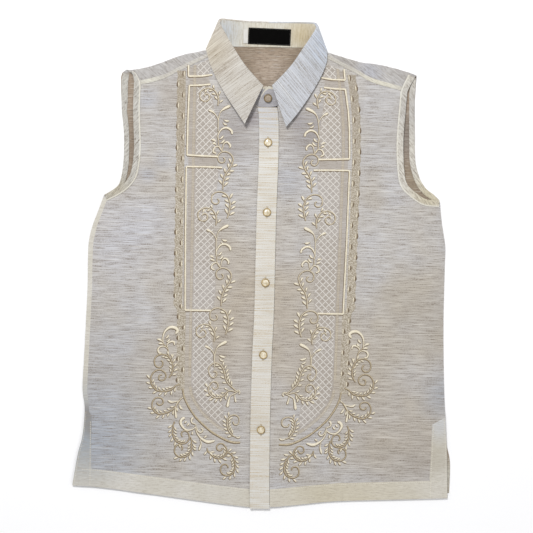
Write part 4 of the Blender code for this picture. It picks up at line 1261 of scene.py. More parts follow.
def sewn_label(name, centre, size, finish, slot, node, turn=0.0):
    """A label, slightly full between its stitches and sewn on a little askew."""
    across, up = np.meshgrid(np.linspace(-1, 1, 25), np.linspace(-1, 1, 13), indexing="ij")
    full = 0.35 * (1 - across**4) * (1 - up**4)
    cosine, sine = math.cos(turn), math.sin(turn)
    x, y = across * size[0] / 2, up * size[1] / 2
    gx, gy = centre[0] + x * cosine - y * sine, centre[1] + x * sine + y * cosine
    z = stand_mid_z(gy) + CAD_COLLAR_WALL / 2 + SEAM + TRIM / 2 + full
    return grid_piece(name, np.dstack([gx, gy, z]), TRIM, [finish], slot, node)


def label_top(_, y):
    """The upper face of the label's flat edges."""
    return stand_mid_z(y) + CAD_COLLAR_WALL / 2 + SEAM + TRIM


LABEL_TURN = math.radians(-1.6)
label = sewn_label(
    "neck_label_satin", LABEL_CENTRE, LABEL_SIZE, label_satin, "label", "neck_label", LABEL_TURN
)
tab = sewn_label("size_tab_satin", TAB_CENTRE, TAB_SIZE, tab_satin, "tab", "size_tab")

# %% [markdown]
# ## Buttons
#
# Each button is turned from a pearly resin with a gold-brown rim: a raised rim, a groove inside it and a low
# domed middle. A profile spun about the button's axis is how a lathe would make it, and how it is made here.

# %% Buttons
BUTTON_RADIUS, BUTTON_HEIGHT = 6.25, 2.6
PROFILE = (
    # share of the radius, share of the height, 0 rim or 1 pearl
    (0, 0, 0), (0.8, 0, 0), (0.93, 0.12, 0), (1, 0.35, 0), (1, 0.62, 0), (0.96, 0.86, 0), (0.89, 1, 0),
    (0.82, 0.97, 0), (0.75, 0.8, 0), (0.7, 0.64, 1), (0.6, 0.66, 1), (0.42, 0.78, 1), (0.2, 0.88, 1),
    (0, 0.92, 1),
)


def resin(name, dark, light, swirl_size, roughness, coat=0.0):
    """Cast resin with a soft swirl in it."""
    made, tree, shader = new_finish(name, roughness=roughness)
    shader.inputs["Coat Weight"].default_value = coat
    place = add_node(tree, "TexCoord").outputs["Object"]
    fine = {"Scale": 1000 / swirl_size, "Detail": 2.5, "Distortion": 1.0}
    swirl = add_node(tree, "TexNoise", Vector=place, **fine).outputs["Fac"]
    share = add_node(tree, "MapRange", Value=swirl, _1=0.35, _2=0.65).outputs["Result"]
    tone = add_node(tree, "Mix", COLOUR_MIX, _0=share, _6=linear(dark), _7=linear(light))
    tree.links.new(tone.outputs[2], shader.inputs["Base Color"])
    return made


pearl_finishes = (
    resin("gold_brown_resin", "#7D6438", "#C4AC78", 2.4, 0.32),
    resin("pearl_resin", "#BFB08F", "#EFE7D2", 3.3, 0.2, coat=0.4),
)
# The top button, on the stand, lies in the collar's shade: these are darker copies of the finishes above,
# painted shade.
painted_shade_finishes = (
    resin("brown_resin", "#5F5034", "#8A744C", 2.4, 0.32),
    resin("smoky_pearl_resin", "#8E8070", "#A89A86", 3.3, 0.2, coat=0.4),
)


def button(number, centre, tilt, finishes):
    """One button, turned about its own axis and tilted about X."""
    around = np.linspace(0, 2 * math.pi, 40, endpoint=False)
    radius = np.array([row[0] for row in PROFILE[1:-1]]) * BUTTON_RADIUS
    height = np.array([row[1] for row in PROFILE[1:-1]]) * BUTTON_HEIGHT
    rings = np.stack(
        [
            np.outer(radius, np.cos(around)),
            np.outer(radius, np.sin(around)),
            np.repeat(height[:, None], len(around), axis=1),
        ],
        axis=-1,
    )
    points = [*rings.reshape(-1, 3), (0, 0, 0), (0, 0, PROFILE[-1][1] * BUTTON_HEIGHT)]
    count, turn = len(around), len(radius)
    faces, regions = [], []
    for i in range(turn - 1):
        for j in range(count):
            k = (j + 1) % count
            faces.append((i * count + j, i * count + k, (i + 1) * count + k, (i + 1) * count + j))
            regions.append(PROFILE[i + 2][2])
    low, high = turn * count, turn * count + 1
    for j in range(count):
        k = (j + 1) % count
        faces += [(low, k, j), (high, (turn - 1) * count + j, (turn - 1) * count + k)]
        regions += [0, 1]
    cosine, sine = math.cos(tilt), math.sin(tilt)
    points = np.array(points) @ np.array(((1, 0, 0), (0, cosine, sine), (0, -sine, cosine))) + centre
    return add_piece(
        f"button_{number}_pearl",
        points,
        faces,
        finishes,
        "button",
        f"button_{number}",
        regions,
        sharp=55,
    )


neck, fold, outer, inward = (part[-1:] for part in collar_sections(1))
centre, outward, to_stand = fold_frame(neck, fold, outer, inward)
seam = centre + to_stand * ROLL - outward * STAND_SHORT
stand_slope = float((seam[0, 2] - neck[0, 2]) / (COLLAR[-1][1][1] - COLLAR[-1][0][1]))
BUTTON_ON_STAND = (0.8, 249.5)
STAND_BUTTON_GAP, BAND_BUTTON_GAP = 0.35, 0.1
BUTTONS_ON_BAND = (
    # x, y
    (2, 183.5), (2, 79), (1.5, -26.5), (0, -134.5), (-1.5, -247),
)
stand_rise = stand_slope * (BUTTON_ON_STAND[1] - STAND_END[0][1])
top_z = neck[0, 2] + stand_rise + CAD_COLLAR_WALL / 2 + STAND_BUTTON_GAP
buttons = [button(1, (*BUTTON_ON_STAND, float(top_z)), math.atan(stand_slope), painted_shade_finishes)]
for number, (x, y) in enumerate(BUTTONS_ON_BAND, 2):
    near = band_top(np.array([y - BUTTON_RADIUS, y, y + BUTTON_RADIUS])).max()
    buttons.append(button(number, (x, y, near + BAND_BUTTON_GAP), 0.0, pearl_finishes))
print("buttons:", len(buttons))

# %% [markdown]
# ## Laying thread on cloth
#
# Embroidery is thread that lies on the cloth, so every stitch here is a low ridge whose feet follow the
# front's own height. A satin stitch over padding looks bright on top and darker down its shaded side. That
# shade is painted: each stitch is two ridges, a wider brown one of painted shade, moved a little down and to
# one side, and the cream one on it. All ridges of one kind and side are gathered in a bag, and become one
# mesh.

# %% Helpers for stitches
RING = np.array([(-1.0, 0.0), (-0.62, 0.78), (0.0, 1.0), (0.62, 0.78), (1.0, 0.0), (0.0, -0.4)])
SHADED_SIDE = np.array((-0.35, -0.5))  # how far the ridge of painted shade is moved
SHADE_RIDGE_WIDER = 1.05
STRAND = 0.9  # drawn strand spacing of a thread


def new_bag():
    return {"points": [], "faces": [], "regions": [], "count": 0}


def lay(bag, path, width, height, region=0, sunk=0.0):
    """A low ridge along a path on the cloth. width may change along it; sunk lowers its feet."""
    path = np.array(path, float)
    width = np.broadcast_to(np.maximum(width, 0.12), len(path))
    height = np.broadcast_to(height, len(path))
    along = directions(path)
    left = np.stack([-along[:, 1], along[:, 0]], axis=1)
    size = len(RING)
    plan = path[:, None] + left[:, None] * (RING[None, :, 0] * width[:, None] / 2)[..., None]
    lift = RING[None, :, 1] * height[:, None] - sunk
    bag["points"].append(np.dstack([plan, lift]).reshape(-1, 3))
    start = bag["count"]
    a = start + np.arange(len(path) * size).reshape(len(path), size)
    b = np.roll(a, -1, axis=1)
    sides = np.stack([a[:-1], a[1:], b[1:], b[:-1]], axis=-1).reshape(-1, 4)
    faces = [tuple(f) for f in sides] + [tuple(a[0]), tuple(a[-1][::-1])]
    bag["faces"] += faces
    bag["regions"] += [region] * len(faces)
    bag["count"] += len(path) * size


def satin(bag, path, width, height, region=0):
    """A padded satin ridge on a wider brown ridge of painted shade, which shows most down its shaded side."""
    path = np.array(path, float)
    width = np.array(np.broadcast_to(width, len(path)), float)
    lay(bag, path + SHADED_SIDE, width + SHADE_RIDGE_WIDER, height * 0.5, region=1)
    lay(bag, path, width, height, region=region, sunk=-0.02)


def leaf_stroke(base, tip, width, bend=0.14, fullest=0.58):
    """(path, widths, heights) of a leaf from base to tip, pointed at both and a little curved."""
    base, tip = np.array(base, float), np.array(tip, float)
    share = np.linspace(0, 1, 8)[:, None]
    across = np.array([base[1] - tip[1], tip[0] - base[0]])
    path = base + (tip - base) * share + across * bend * np.sin(np.pi * share)
    power = math.log(0.5) / math.log(fullest)
    shape = np.sin(np.pi * share[:, 0] ** power).clip(0.02, 1) ** 0.8
    return path, width * shape, 0.35 + 0.6 * shape


def sewn_on(name, bag, materials, slot="cloth", top=None):
    """One mesh from a bag of ridges, with their feet on the cloth."""
    points = np.concatenate(bag["points"])
    under = (top or dressed_top)(points[:, 0], points[:, 1])
    points = np.column_stack([points[:, :2], under + points[:, 2]])
    made = add_piece(name, points, bag["faces"], materials, slot, regions=bag["regions"], sharp=75)
    print(f"{name}: {len(bag['faces'])} faces")
    return made


def dressed_top(x, y):
    """The upper face of the fronts with their hems and facings."""
    return shirt_top(x, y) + TURNED_STEP * double_layer(x, y)


def thread_finish(name, light, dark):
    """Rayon embroidery thread: lustrous, with fine strands that are drawn twice as coarse as real ones."""
    made, tree, shader = new_finish(name, roughness=0.5, sheen=0.2)
    place = add_node(tree, "TexCoord").outputs["Object"]
    strands = add_node(tree, "TexNoise", Vector=place, Scale=1000 / STRAND, Detail=1.0)
    strands = add_node(tree, "MapRange", Value=strands.outputs["Fac"], _1=0.35, _2=0.65)
    strands = strands.outputs["Result"]
    tone = add_node(tree, "Mix", COLOUR_MIX, _0=strands, _6=linear(dark), _7=linear(light))
    bump = add_node(tree, "Bump", Strength=0.35, Distance=0.15 * MM, Height=strands)
    tree.links.new(tone.outputs[2], shader.inputs["Base Color"])
    tree.links.new(bump.outputs["Normal"], shader.inputs["Normal"])
    return made


cream_thread = thread_finish("cream_rayon_thread", "#EEE7D3", "#D6CAAE")
# The brown thread is painted shade, laid down the shaded side of each satin ridge and petal.
painted_shade_thread = thread_finish("brown_painted_shade_thread", "#7F6E57", "#645440")
pale_stem_thread = thread_finish("pale_stem_thread", "#DDD3BD", "#B9AB8C")
tan_stem_thread = thread_finish("tan_stem_thread", "#C8BB9F", "#9E8D6C")
white_thread = thread_finish("white_drawn_thread", "#DDD9D2", "#C8C3BB")
sewing_thread = thread_finish("cotton_sewing_thread", "#E4E0D2", "#CBC5B6")

# %% [markdown]
# ## The framed cords
#
# The panel is drawn first with cord: three open frames down each front and a long curve below them that
# closes the lattice. The frames are straight runs with square corners; the curve is its table with a smooth
# line through it.

# %% Cords
CORD_WIDTH, CURVE_WIDTH, CORD_HEIGHT = 2.6, 2.4, 0.9


def uneven(path, width, seed):
    """A hand-guided width that swells and thins a little along a path."""
    along = np.arange(len(path))
    return width * (1 + 0.09 * np.sin(along * 0.83 + seed) + 0.06 * np.sin(along * 2.1 + 2 * seed))


for side in (-1, 1):
    bag = new_bag()
    for number, corners in enumerate(FRAMES):
        for start, end in zip(corners, corners[1:]):
            run = turned_left(side, evenly([start, end], 2.5))
            satin(bag, run, uneven(run, CORD_WIDTH, number), CORD_HEIGHT)
    curve = turned_left(side, arc())
    swelling = uneven(curve, CURVE_WIDTH, len(FRAMES)) * np.linspace(0.8, 1.1, len(curve))
    satin(bag, curve, swelling, CORD_HEIGHT, region=2)
    sewn_on(
        f"frame_cords_{SIDE_NAMES[side]}", bag, [cream_thread, painted_shade_thread, tan_stem_thread]
    )

# %% [markdown]
# ## The lattice
#
# Inside the frames the weaver draws threads out of the cloth and ties the rest in diamonds (calado). The
# openings are far too many to cut one by one, so the ties are white threads on the sheer cloth, crossing
# every 10 mm. One way they run through; the other way they are knotted at each crossing, so they swell and
# thin.

# %% Lattice
LATTICE_PITCH = 10.05
LATTICE_FROM, LATTICE_PHASE = 56.0, 0.4  # where its crossings are counted from
CROSS_BARS = ((270.0, 280.0), (147.0, 161.0), (-71.0, -69.0))  # low and high y of plain cloth between frames


def in_lattice(points):
    """Which places (distance from the middle, y) the lattice covers."""
    a, y = points[:, 0], points[:, 1]
    seam_y = read_table(YOKE_SEAM, a) - 2.5
    inner = read_table([(y, a) for a, y in LATTICE_INNER], y)
    in_arc = y > read_table([tuple(row) for row in arc(-LATTICE_IN)], a)
    on_bar = np.any([(y > low) & (y < high) for low, high in CROSS_BARS], axis=0)
    return (a < LATTICE_OUTER) & (a > inner) & (y < seam_y) & in_arc & ~on_bar


def lattice_runs(slope):
    """Straight runs of tie thread one way across the panel, their points an eighth of a crossing apart."""
    runs = []
    for k in range(-50, 80):
        a = LATTICE_OUTER - LATTICE_PITCH / 8 * np.arange(45)[::-1]
        y = slope * (a - LATTICE_FROM) + (k + LATTICE_PHASE) * LATTICE_PITCH
        line = np.stack([a, y], axis=1)
        ends = np.flatnonzero(np.diff(np.concatenate([[0], in_lattice(line), [0]])))
        runs += [line[start:end] for start, end in ends.reshape(-1, 2) if end - start > 3]
    return runs


for side in (-1, 1):
    bag = new_bag()
    for slope, thickness, knotting in ((-1, 1.4, 0.12), (1, 1.35, 0.5)):
        for run in lattice_runs(slope):
            beat = np.cos(2 * np.pi * (2 * run[:, 0] / LATTICE_PITCH - 0.2))
            wide = thickness * (1 - knotting * (0.5 + 0.5 * beat))
            lay(bag, turned_left(side, run), wide, 0.32)
    sewn_on(f"lattice_threads_{SIDE_NAMES[side]}", bag, [white_thread])

# %% [markdown]
# ## Ladder stitches
#
# A narrow ladder of small beige stitches edges the lattice on its outer side and along the inside of the
# curve. They are short cross bars between two fine rails, all of them real little ridges.

# %% Ladders
LADDER_A = 109.6  # its distance from the middle
LADDER_HALF, LADDER_PITCH = 1.5, 2.3
LADDER_IN_CURVE = 11.5  # how far inside the curve the lower one runs


def ladder(bag, side, line):
    """Cross bars along a line of (distance from the middle, y), between two rails."""
    line = evenly(line, LADDER_PITCH)
    left, right = (turned_left(side, beside(line, half)) for half in (LADDER_HALF, -LADDER_HALF))
    for a, b in zip(left, right):
        lay(bag, [a, (a + b) / 2, b], np.array((0.7, 1.0, 0.7)), 0.35)
    for rail in (left, right):
        lay(bag, rail, 0.55, 0.22, region=1)


ladder_thread = thread_finish("beige_ladder_thread", "#D3C9B5", "#B4A78F")
rail_thread = thread_finish("tan_rail_thread", "#B9AD97", "#A2957D")
for side in (-1, 1):
    bag = new_bag()
    top_y = float(read_table(YOKE_SEAM, LADDER_A)) - 3.0
    ladder(bag, side, [(LADDER_A, top_y), (LADDER_A, -168.0)])
    ladder(bag, side, arc(-LADDER_IN_CURVE)[:-14])  # it stops short of the curve's end
    sewn_on(f"ladder_stitches_{SIDE_NAMES[side]}", bag, [ladder_thread, rail_thread])

# %% [markdown]
# ## The openwork band
#
# Outside the cords runs a band of close net stitching, with small satin petals set in two columns that
# alternate. The net is far too fine to build loop by loop: the band is a low raised strip with a pitted bump,
# and only the petals are ridges of their own.

# %% Openwork band and petals
BAND_INNER, BAND_OUTER = 122.6, 136.0
BAND_LOW_Y = -190.0
BAND_STEP_IN, BAND_STEP_Y = 5.8, -74.0
PETAL_PITCH = 31.7  # in one column
PETAL_TOP_Y = 268.9
PETAL_COLUMNS = (134.2, 126.2)
PETAL_LENGTH, PETAL_LONGER = 7.6, 1.8  # at the bottom, and what is added higher up


def step_in(y):
    """How far in the band steps where the last frame ends."""
    return BAND_STEP_IN * (1 - smooth_step((np.asarray(y, float) - BAND_STEP_Y) / 14))


def net_stitching(name, light, dark, spots):
    """Close net embroidery: loops about 1.5 mm across, pitted between."""
    made, tree, shader = new_finish(name, roughness=0.75, sheen=0.1)
    place = add_node(tree, "TexCoord").outputs["Object"]
    loops = add_node(tree, "TexVoronoi", Vector=place, Scale=1000 / 1.5).outputs["Distance"]
    broken = add_node(tree, "TexNoise", Vector=place, Scale=1000 / 2.6, Detail=2.0).outputs["Fac"]
    mixed = add_node(tree, "Math", {"operation": "MULTIPLY_ADD"}, _0=loops, _1=0.7, _2=broken)
    tone = add_node(tree, "MapRange", Value=mixed.outputs["Value"], _1=0.55, _2=1.0)
    tones = {"_6": linear(light), "_7": linear(dark)}
    colour = add_node(tree, "Mix", COLOUR_MIX, _0=tone.outputs["Result"], **tones)
    pits = {"Strength": 0.6, "Distance": 0.4 * MM, "Height": mixed.outputs["Value"]}
    bump = add_node(tree, "Bump", {"invert": True}, **pits)
    tree.links.new(tinted(tree, place, colour.outputs[2], spots), shader.inputs["Base Color"])
    tree.links.new(bump.outputs["Normal"], shader.inputs["Normal"])
    return made


net = net_stitching(
    "beige_net_stitching",
    "#CEC6B8",
    "#958A76",
    ((-130, 260, 190, 0.5, "#978B79"), (125, 260, 190, 0.45, "#958B7E")),
)
open_bands, petals = {}, {}
for side in (-1, 1):
    top_y = float(read_table(YOKE_SEAM, 130.0)) - 1.2
    y = evenly([(0, BAND_LOW_Y), (0, top_y)], 2.5)[:, 1]
    shares = np.array([0, 0.04, 0.15, 0.4, 0.6, 0.85, 0.96, 1.0])
    lift = np.array([-0.2, 0.1, 0.26, 0.3, 0.3, 0.26, 0.1, -0.2])
    scallop = 0.7 * np.sin(2 * np.pi * y / (PETAL_PITCH / 2)) + 0.25 * np.sin(y * 1.7)
    fade = smooth_step((y - BAND_LOW_Y) / 60)
    a = BAND_INNER + (BAND_OUTER - BAND_INNER - 2 * (1 - fade) + scallop)[:, None] * shares[None]
    a = a - step_in(y)[:, None]
    plan = turned_left(side, np.dstack([a, np.repeat(y[:, None], len(shares), axis=1)]).reshape(-1, 2))
    z = shirt_top(plan[:, 0], plan[:, 1]) + np.tile(lift, len(y))
    high = np.column_stack([plan, z])
    low = np.column_stack([plan, z - 0.25])
    faces = grid_faces(len(y), len(shares))
    if side > 0:
        faces = faces[:, ::-1]
    open_bands[side] = add_piece(
        f"openwork_band_{SIDE_NAMES[side]}",
        np.concatenate([high, low]),
        close_wall(faces.tolist(), len(high)),
        [net],
        "cloth",
    )
    bag = new_bag()
    for k in range(-1, 31):
        y0 = PETAL_TOP_Y - k * PETAL_PITCH / 2
        if y0 < BAND_LOW_Y + 4 or y0 > top_y - 4:
            continue
        a0 = PETAL_COLUMNS[k % 2] - float(step_in(y0))
        long = PETAL_LENGTH + PETAL_LONGER * float(smooth_step((y0 + 60) / 200))
        # Each petal is a wide brown almond of painted shade, with a narrower cream one on it towards its lit
        # side.
        for out, width, region in ((0.6, 3.9, 1), (-0.8 - 0.4 * (y0 < 60), 2.0, 0)):
            ends = (a0 + out, y0 - long / 2), (a0 + out, y0 + long / 2)
            path, widths, height = leaf_stroke(*ends, width, bend=0.0, fullest=0.5)
            lay(bag, turned_left(side, path), widths, height * (1.0 if region else 1.15), region=region)
    petals[side] = sewn_on(f"petals_{SIDE_NAMES[side]}", bag, [cream_thread, painted_shade_thread])

# %% [markdown]
# ## The vine
#
# A running vine fills the ground between the band and the lattice. It is three scrolls, a bud stem and a few
# commas that repeat every 174 mm, so one repeat is written down and laid again lower, and its last part once
# more on top. A scroll is a smooth lead-in and then a spiral given by its radius at each quarter turn, which
# is how a designer spaces one by eye. Small leaves then sit along both sides of the stem. All of it is satin
# stitch.

# %% Strokes, scrolls and sprays
STEM_WIDTH = 1.3
LEAF_ANGLE = math.radians(43)
LEAF_GAP = 1.7  # from the middle of the stem to a leaf's near end
STROKE_STEP = 1.3


def stroke(rows):
    """A satin line from rows of (distance from the middle, y) or (.., .., width), rounded at its ends."""
    rows = np.array(rows, float)
    if rows.shape[1] == 2:
        rows = np.column_stack([rows, np.full(len(rows), STEM_WIDTH)])
    line = evenly(smooth_curve(rows, 6), STROKE_STEP)
    along = np.concatenate([[0], np.cumsum(np.linalg.norm(np.diff(line[:, :2], axis=0), axis=1))])
    to_end = np.minimum(along, along[-1] - along)
    wide = line[:, 2] * np.sqrt(np.clip((to_end + 0.25) / (0.3 + line[:, 2] / 2), 0, 1))
    return line[:, :2], wide * (1.05 + 0.09 * line[:, 2]), 0.55 + 0.14 * line[:, 2]


def scroll(lead, centre, start, hand, radii):
    """The path of a stem: a lead-in, then a spiral about a centre from a start angle in degrees."""
    quarters = np.linspace(0, len(radii) - 1, 5 * (len(radii) - 1) + 1)
    radius = np.interp(quarters, np.arange(len(radii)), radii)
    turn = math.radians(start) + hand * quarters * math.pi / 2
    spiral = np.array(centre) + np.stack([radius * np.cos(turn), radius * np.sin(turn)], axis=1)
    return evenly(smooth_curve([*lead, *spiral[::2]], 6), STROKE_STEP)


def spray(path, hand, first, last, count, length):
    """Leaves beside a stem (hand 1 is its left), between two distances from its root, clear of it."""
    along = np.concatenate([[0], np.cumsum(np.linalg.norm(np.diff(path, axis=0), axis=1))])
    ahead = directions(path)
    made = []
    for number, at in enumerate(np.linspace(first, last, count)):
        base = np.array([np.interp(at, along, path[:, k]) for k in (0, 1)])
        way = np.array([np.interp(at, along, ahead[:, k]) for k in (0, 1)])
        base = base + hand * LEAF_GAP * np.array([-way[1], way[0]]) / max(np.linalg.norm(way), 1e-6)
        turn = math.atan2(way[1], way[0]) + hand * LEAF_ANGLE * (1 + 0.08 * math.sin(number * 2.3))
        long = 1.2 * length * (1 + 0.07 * math.sin(number * 1.7 + 1))
        tip = base + long * np.array([math.cos(turn), math.sin(turn)])
        made.append(leaf_stroke(base, tip, 0.45 * length, -0.08 * hand))
    return made


def scrolls_of(table):
    """Strokes of scrolls and their leaves. Each row: lead, centre, start, hand, radii, sprays."""
    made = []
    for lead, centre, start, hand, radii, sprays in table:
        path = scroll(lead, centre, start, hand, radii)
        made.append(stroke(path[::2]))
        for row in sprays:
            made += spray(path, *row)
    return made


# %% [markdown]
# ## One repeat
#
# Places are counted from the centre of the repeat's first scroll, outwards and up. A spray of leaves is five
# numbers: the side of the stem, the first and the last place along it, how many leaves, and their length.

# %% One repeat of the vine
VINE_SCROLLS = (
    # lead, centre, start degrees, hand, radius at each quarter turn, sprays
    (
        ((-1, -46.3), (-1.8, -33.9), (-5.3, -22.1), (-12.2, -12.2)),
        (0, 0), 180, -1, (15.8, 10.4, 7, 6, 3.2, 1.6),
        ((1, 5, 38, 5, 7), (-1, 8, 42, 5, 6.4)),
    ),
    (
        ((-8.3, -89), (-11.2, -79.2), (-12.6, -67.4)),
        (8.5, -62.4), 193, -1, (21.7, 13.1, 7.2, 5.6, 4.4, 2.4),
        ((1, 5, 30, 4, 7.5), (-1, 6, 34, 4, 7)),
    ),
    (
        ((8.5, -99.9), (7.5, -91)),
        (26.8, -86.1), 180, -1, (18.7, 11.4, 8.8, 7.8, 5.6, 3.4, 2),
        ((-1, 8, 36, 4, 5.9), (1, 4, 26, 3, 5.9)),
    ),
)
VINE_LINES = (
    # rows of distance outwards, distance up, width
    (
        (7.5, -139, 0.9), (7.5, -128.4, 0.9), (6.9, -118.6, 0.9), (4.5, -109.7, 1.1), (-0.4, -104.8, 2.6),
        (-6.5, -101.5, 3.3), (-10.6, -99.7, 2.6),
    ),
    ((7.2, -122.5, 0.9), (9.5, -116.6, 0.9), (14.4, -110.7, 1.3), (19, -108, 2.5), (22.3, -106.8, 1.8)),
    (
        (6.5, 27.2, 1), (7.5, 35, 1.3), (2.6, 43.9, 1.9), (-5.3, 46.5, 2.3), (-12.2, 42.6, 2.5),
        (-13.8, 37, 2.3),
    ),
    ((6.5, 27.2, 1.1), (6.3, 20, 1.1), (3, 13.5, 1.1), (-1, 10.6, 1.1)),
    ((0.6, 12.4, 0.9), (6.5, 18.3, 1.2), (12.4, 16.4, 1.6), (14.4, 10.4, 1.9), (9.5, 7.5, 1.6)),
    ((0.6, 13.4, 0.9), (-1.4, 22.3, 1.3), (-6.3, 25.2, 2), (-11.2, 20.3, 2.2), (-10.2, 16.4, 1.8)),
)
VINE_LEAVES = (
    # base outwards, up, tip outwards, up, width
    (-0.4, -120.6, -9.3, -122.5, 2.4), (0.6, -124.6, -6.4, -128.9, 2), (5.9, 29.2, -0.4, 35.1, 2.4),
    (4.5, 23.2, -2.4, 29.2, 2.4), (10.4, 25.2, 17.7, 28.2, 2.4), (9.5, 20.3, 16.4, 22.9, 2.4),
)
REPEATS = ((65.6, 158.3), (65.3, -16.2))
TOP_REPEAT = (65.6, 337.8)  # only its last scroll and bud stem show below the collar


def moved(strokes, origin):
    return [(path + np.array(origin), width, height) for path, width, height in strokes]


def lines_of(table):
    return [stroke(rows) for rows in table]


def leaves_of(table):
    return [leaf_stroke((a, b), (c, d), 1.2 * width) for a, b, c, d, width in table]


vine = []
for origin in REPEATS:
    one = scrolls_of(VINE_SCROLLS) + lines_of(VINE_LINES) + leaves_of(VINE_LEAVES)
    vine += moved(one, origin)
top = scrolls_of(VINE_SCROLLS[2:]) + lines_of(VINE_LINES[:2]) + leaves_of(VINE_LEAVES[:2])
vine += moved(top, TOP_REPEAT)
print("vine strokes:", len(vine))

# %% [markdown]
# ## Where the vine ends
#
# Below the last repeat the vine runs into the curve of cord. Its end is drawn once, in its own places: two
# scrolls that face each other, a bud and, under them, one more scroll inside the end of the curve.

# %% The vine's end
END_SCROLLS = (
    # lead, centre, start degrees, hand, radius at each quarter turn, sprays
    (
        (
            (39.1, -189.7), (45, -184.7), (51.4, -179), (55.5, -171.6), (57.4, -163), (59.8, -156.2),
            (63.9, -150.5), (69.1, -148.3),
        ),
        (74.3, -163), 90, -1, (14.5, 5.5, 7.2, 5.2, 2),
        ((1, 10, 44, 7, 6), (-1, 18, 48, 5, 5.6)),
    ),
    (
        ((39.1, -190.9), (51.2, -189.4), (59.7, -198.1)),
        (72, -182.8), -90, 1, (17.2, 7.5, 6.9, 5.2, 4.9, 3.1),
        ((1, 12, 46, 7, 5.1), (-1, 14, 56, 8, 6)),
    ),
    (
        ((39.2, -258.3), (45, -255.1), (50.5, -246.9)),
        (39.6, -234), 0, 1, (12.8, 8, 5.9, 6.6, 3.5),
        ((1, 6, 34, 7, 5.1), (-1, 5, 36, 7, 5.6)),
    ),
)
END_LINES = (
    # rows of distance from the middle, y, width
    ((72, -131.7, 1.2), (73.2, -139, 1.2), (73.2, -146.5, 1.2)),
    ((35.1, -189.7, 1), (41.4, -193.2, 1.2), (48.2, -197.3, 1.2), (50.4, -203.1, 2.2), (52.5, -214.1, 3.4)),
    ((41.9, -194.9, 1), (41.3, -200, 1.6), (39.7, -206.4, 2.4)),
    ((35, -194.5, 1.8), (33.2, -191.2, 1.4), (35.5, -188.4, 1.1), (39.6, -189.6, 1.1)),
    ((39.2, -258.3, 1.2), (34.5, -259.8, 1.6), (31.5, -257.6, 1.8)),
)
END_LEAVES = ((66.4, -135.9, 58.1, -138.4, 2.4),)
vine += scrolls_of(END_SCROLLS) + lines_of(END_LINES) + leaves_of(END_LEAVES)

# %% [markdown]
# ## The flourish outside the curve
#
# Outside the cord a freer spray follows the curve round, from the bottom of the openwork band to the middle.
# The same strokes, scrolls and sprays make it, from tables of its own.

# %% Flourish
FLOURISH_SCROLLS = (
    # lead, centre, start degrees, hand, radius at each quarter turn, sprays
    (
        ((140.4, -171.4), (135.5, -161.8), (135.2, -151.5)),
        (154.6, -148.4), 189, -1, (19.4, 11.9, 8.4, 7.9, 4.5, 3),
        ((1, 5, 36, 6, 6), (-1, 8, 40, 6, 5.1)),
    ),
    (
        ((124, -180.6), (130.8, -183.3), (137.6, -189.4), (147, -191.7)),
        (151.7, -169.8), -70, 1, (21.5, 14, 8.6, 5.8, 5.8, 3.6, 2.6),
        ((1, 12, 52, 7, 5.1), (-1, 8, 58, 8, 6)),
    ),
    (
        ((122, -201.4), (131.4, -215.9), (141, -222.8)),
        (154.9, -207.3), -90, 1, (18.6, 9, 6, 6.5, 5, 3),
        ((1, 16, 52, 6, 5.1), (-1, 14, 56, 7, 6)),
    ),
    (
        ((130.9, -236.7), (133.3, -243.3), (133.6, -251.6)),
        (116.2, -256.2), 0, -1, (17.3, 13.3, 7, 5.8, 4.3, 3.7),
        ((1, 6, 36, 6, 6), (-1, 8, 42, 7, 5.1)),
    ),
    (
        ((106.7, -259.4), (104.9, -266.7), (105.2, -274.2)),
        (122.4, -277.3), 180, 1, (17.7, 12.3, 7.8, 5.8, 3.7, 2),
        ((-1, 5, 44, 8, 6), (1, 8, 36, 6, 5.1)),
    ),
    (
        ((81.7, -275.4), (79.9, -282.8)),
        (62.4, -274.7), -20, -1, (17.7, 15.6, 7.8, 5.6, 4.9, 4.5, 2.9),
        ((1, 4, 46, 8, 6), (-1, 6, 48, 8, 5.1)),
    ),
    (
        ((52, -281.5), (45.3, -284.7), (40.3, -293.7), (39.3, -303.5)),
        (53.6, -306.2), 180, 1, (14.4, 10, 7.4, 7, 3.1),
        ((-1, 6, 48, 8, 6), (1, 12, 42, 7, 5.1)),
    ),
)
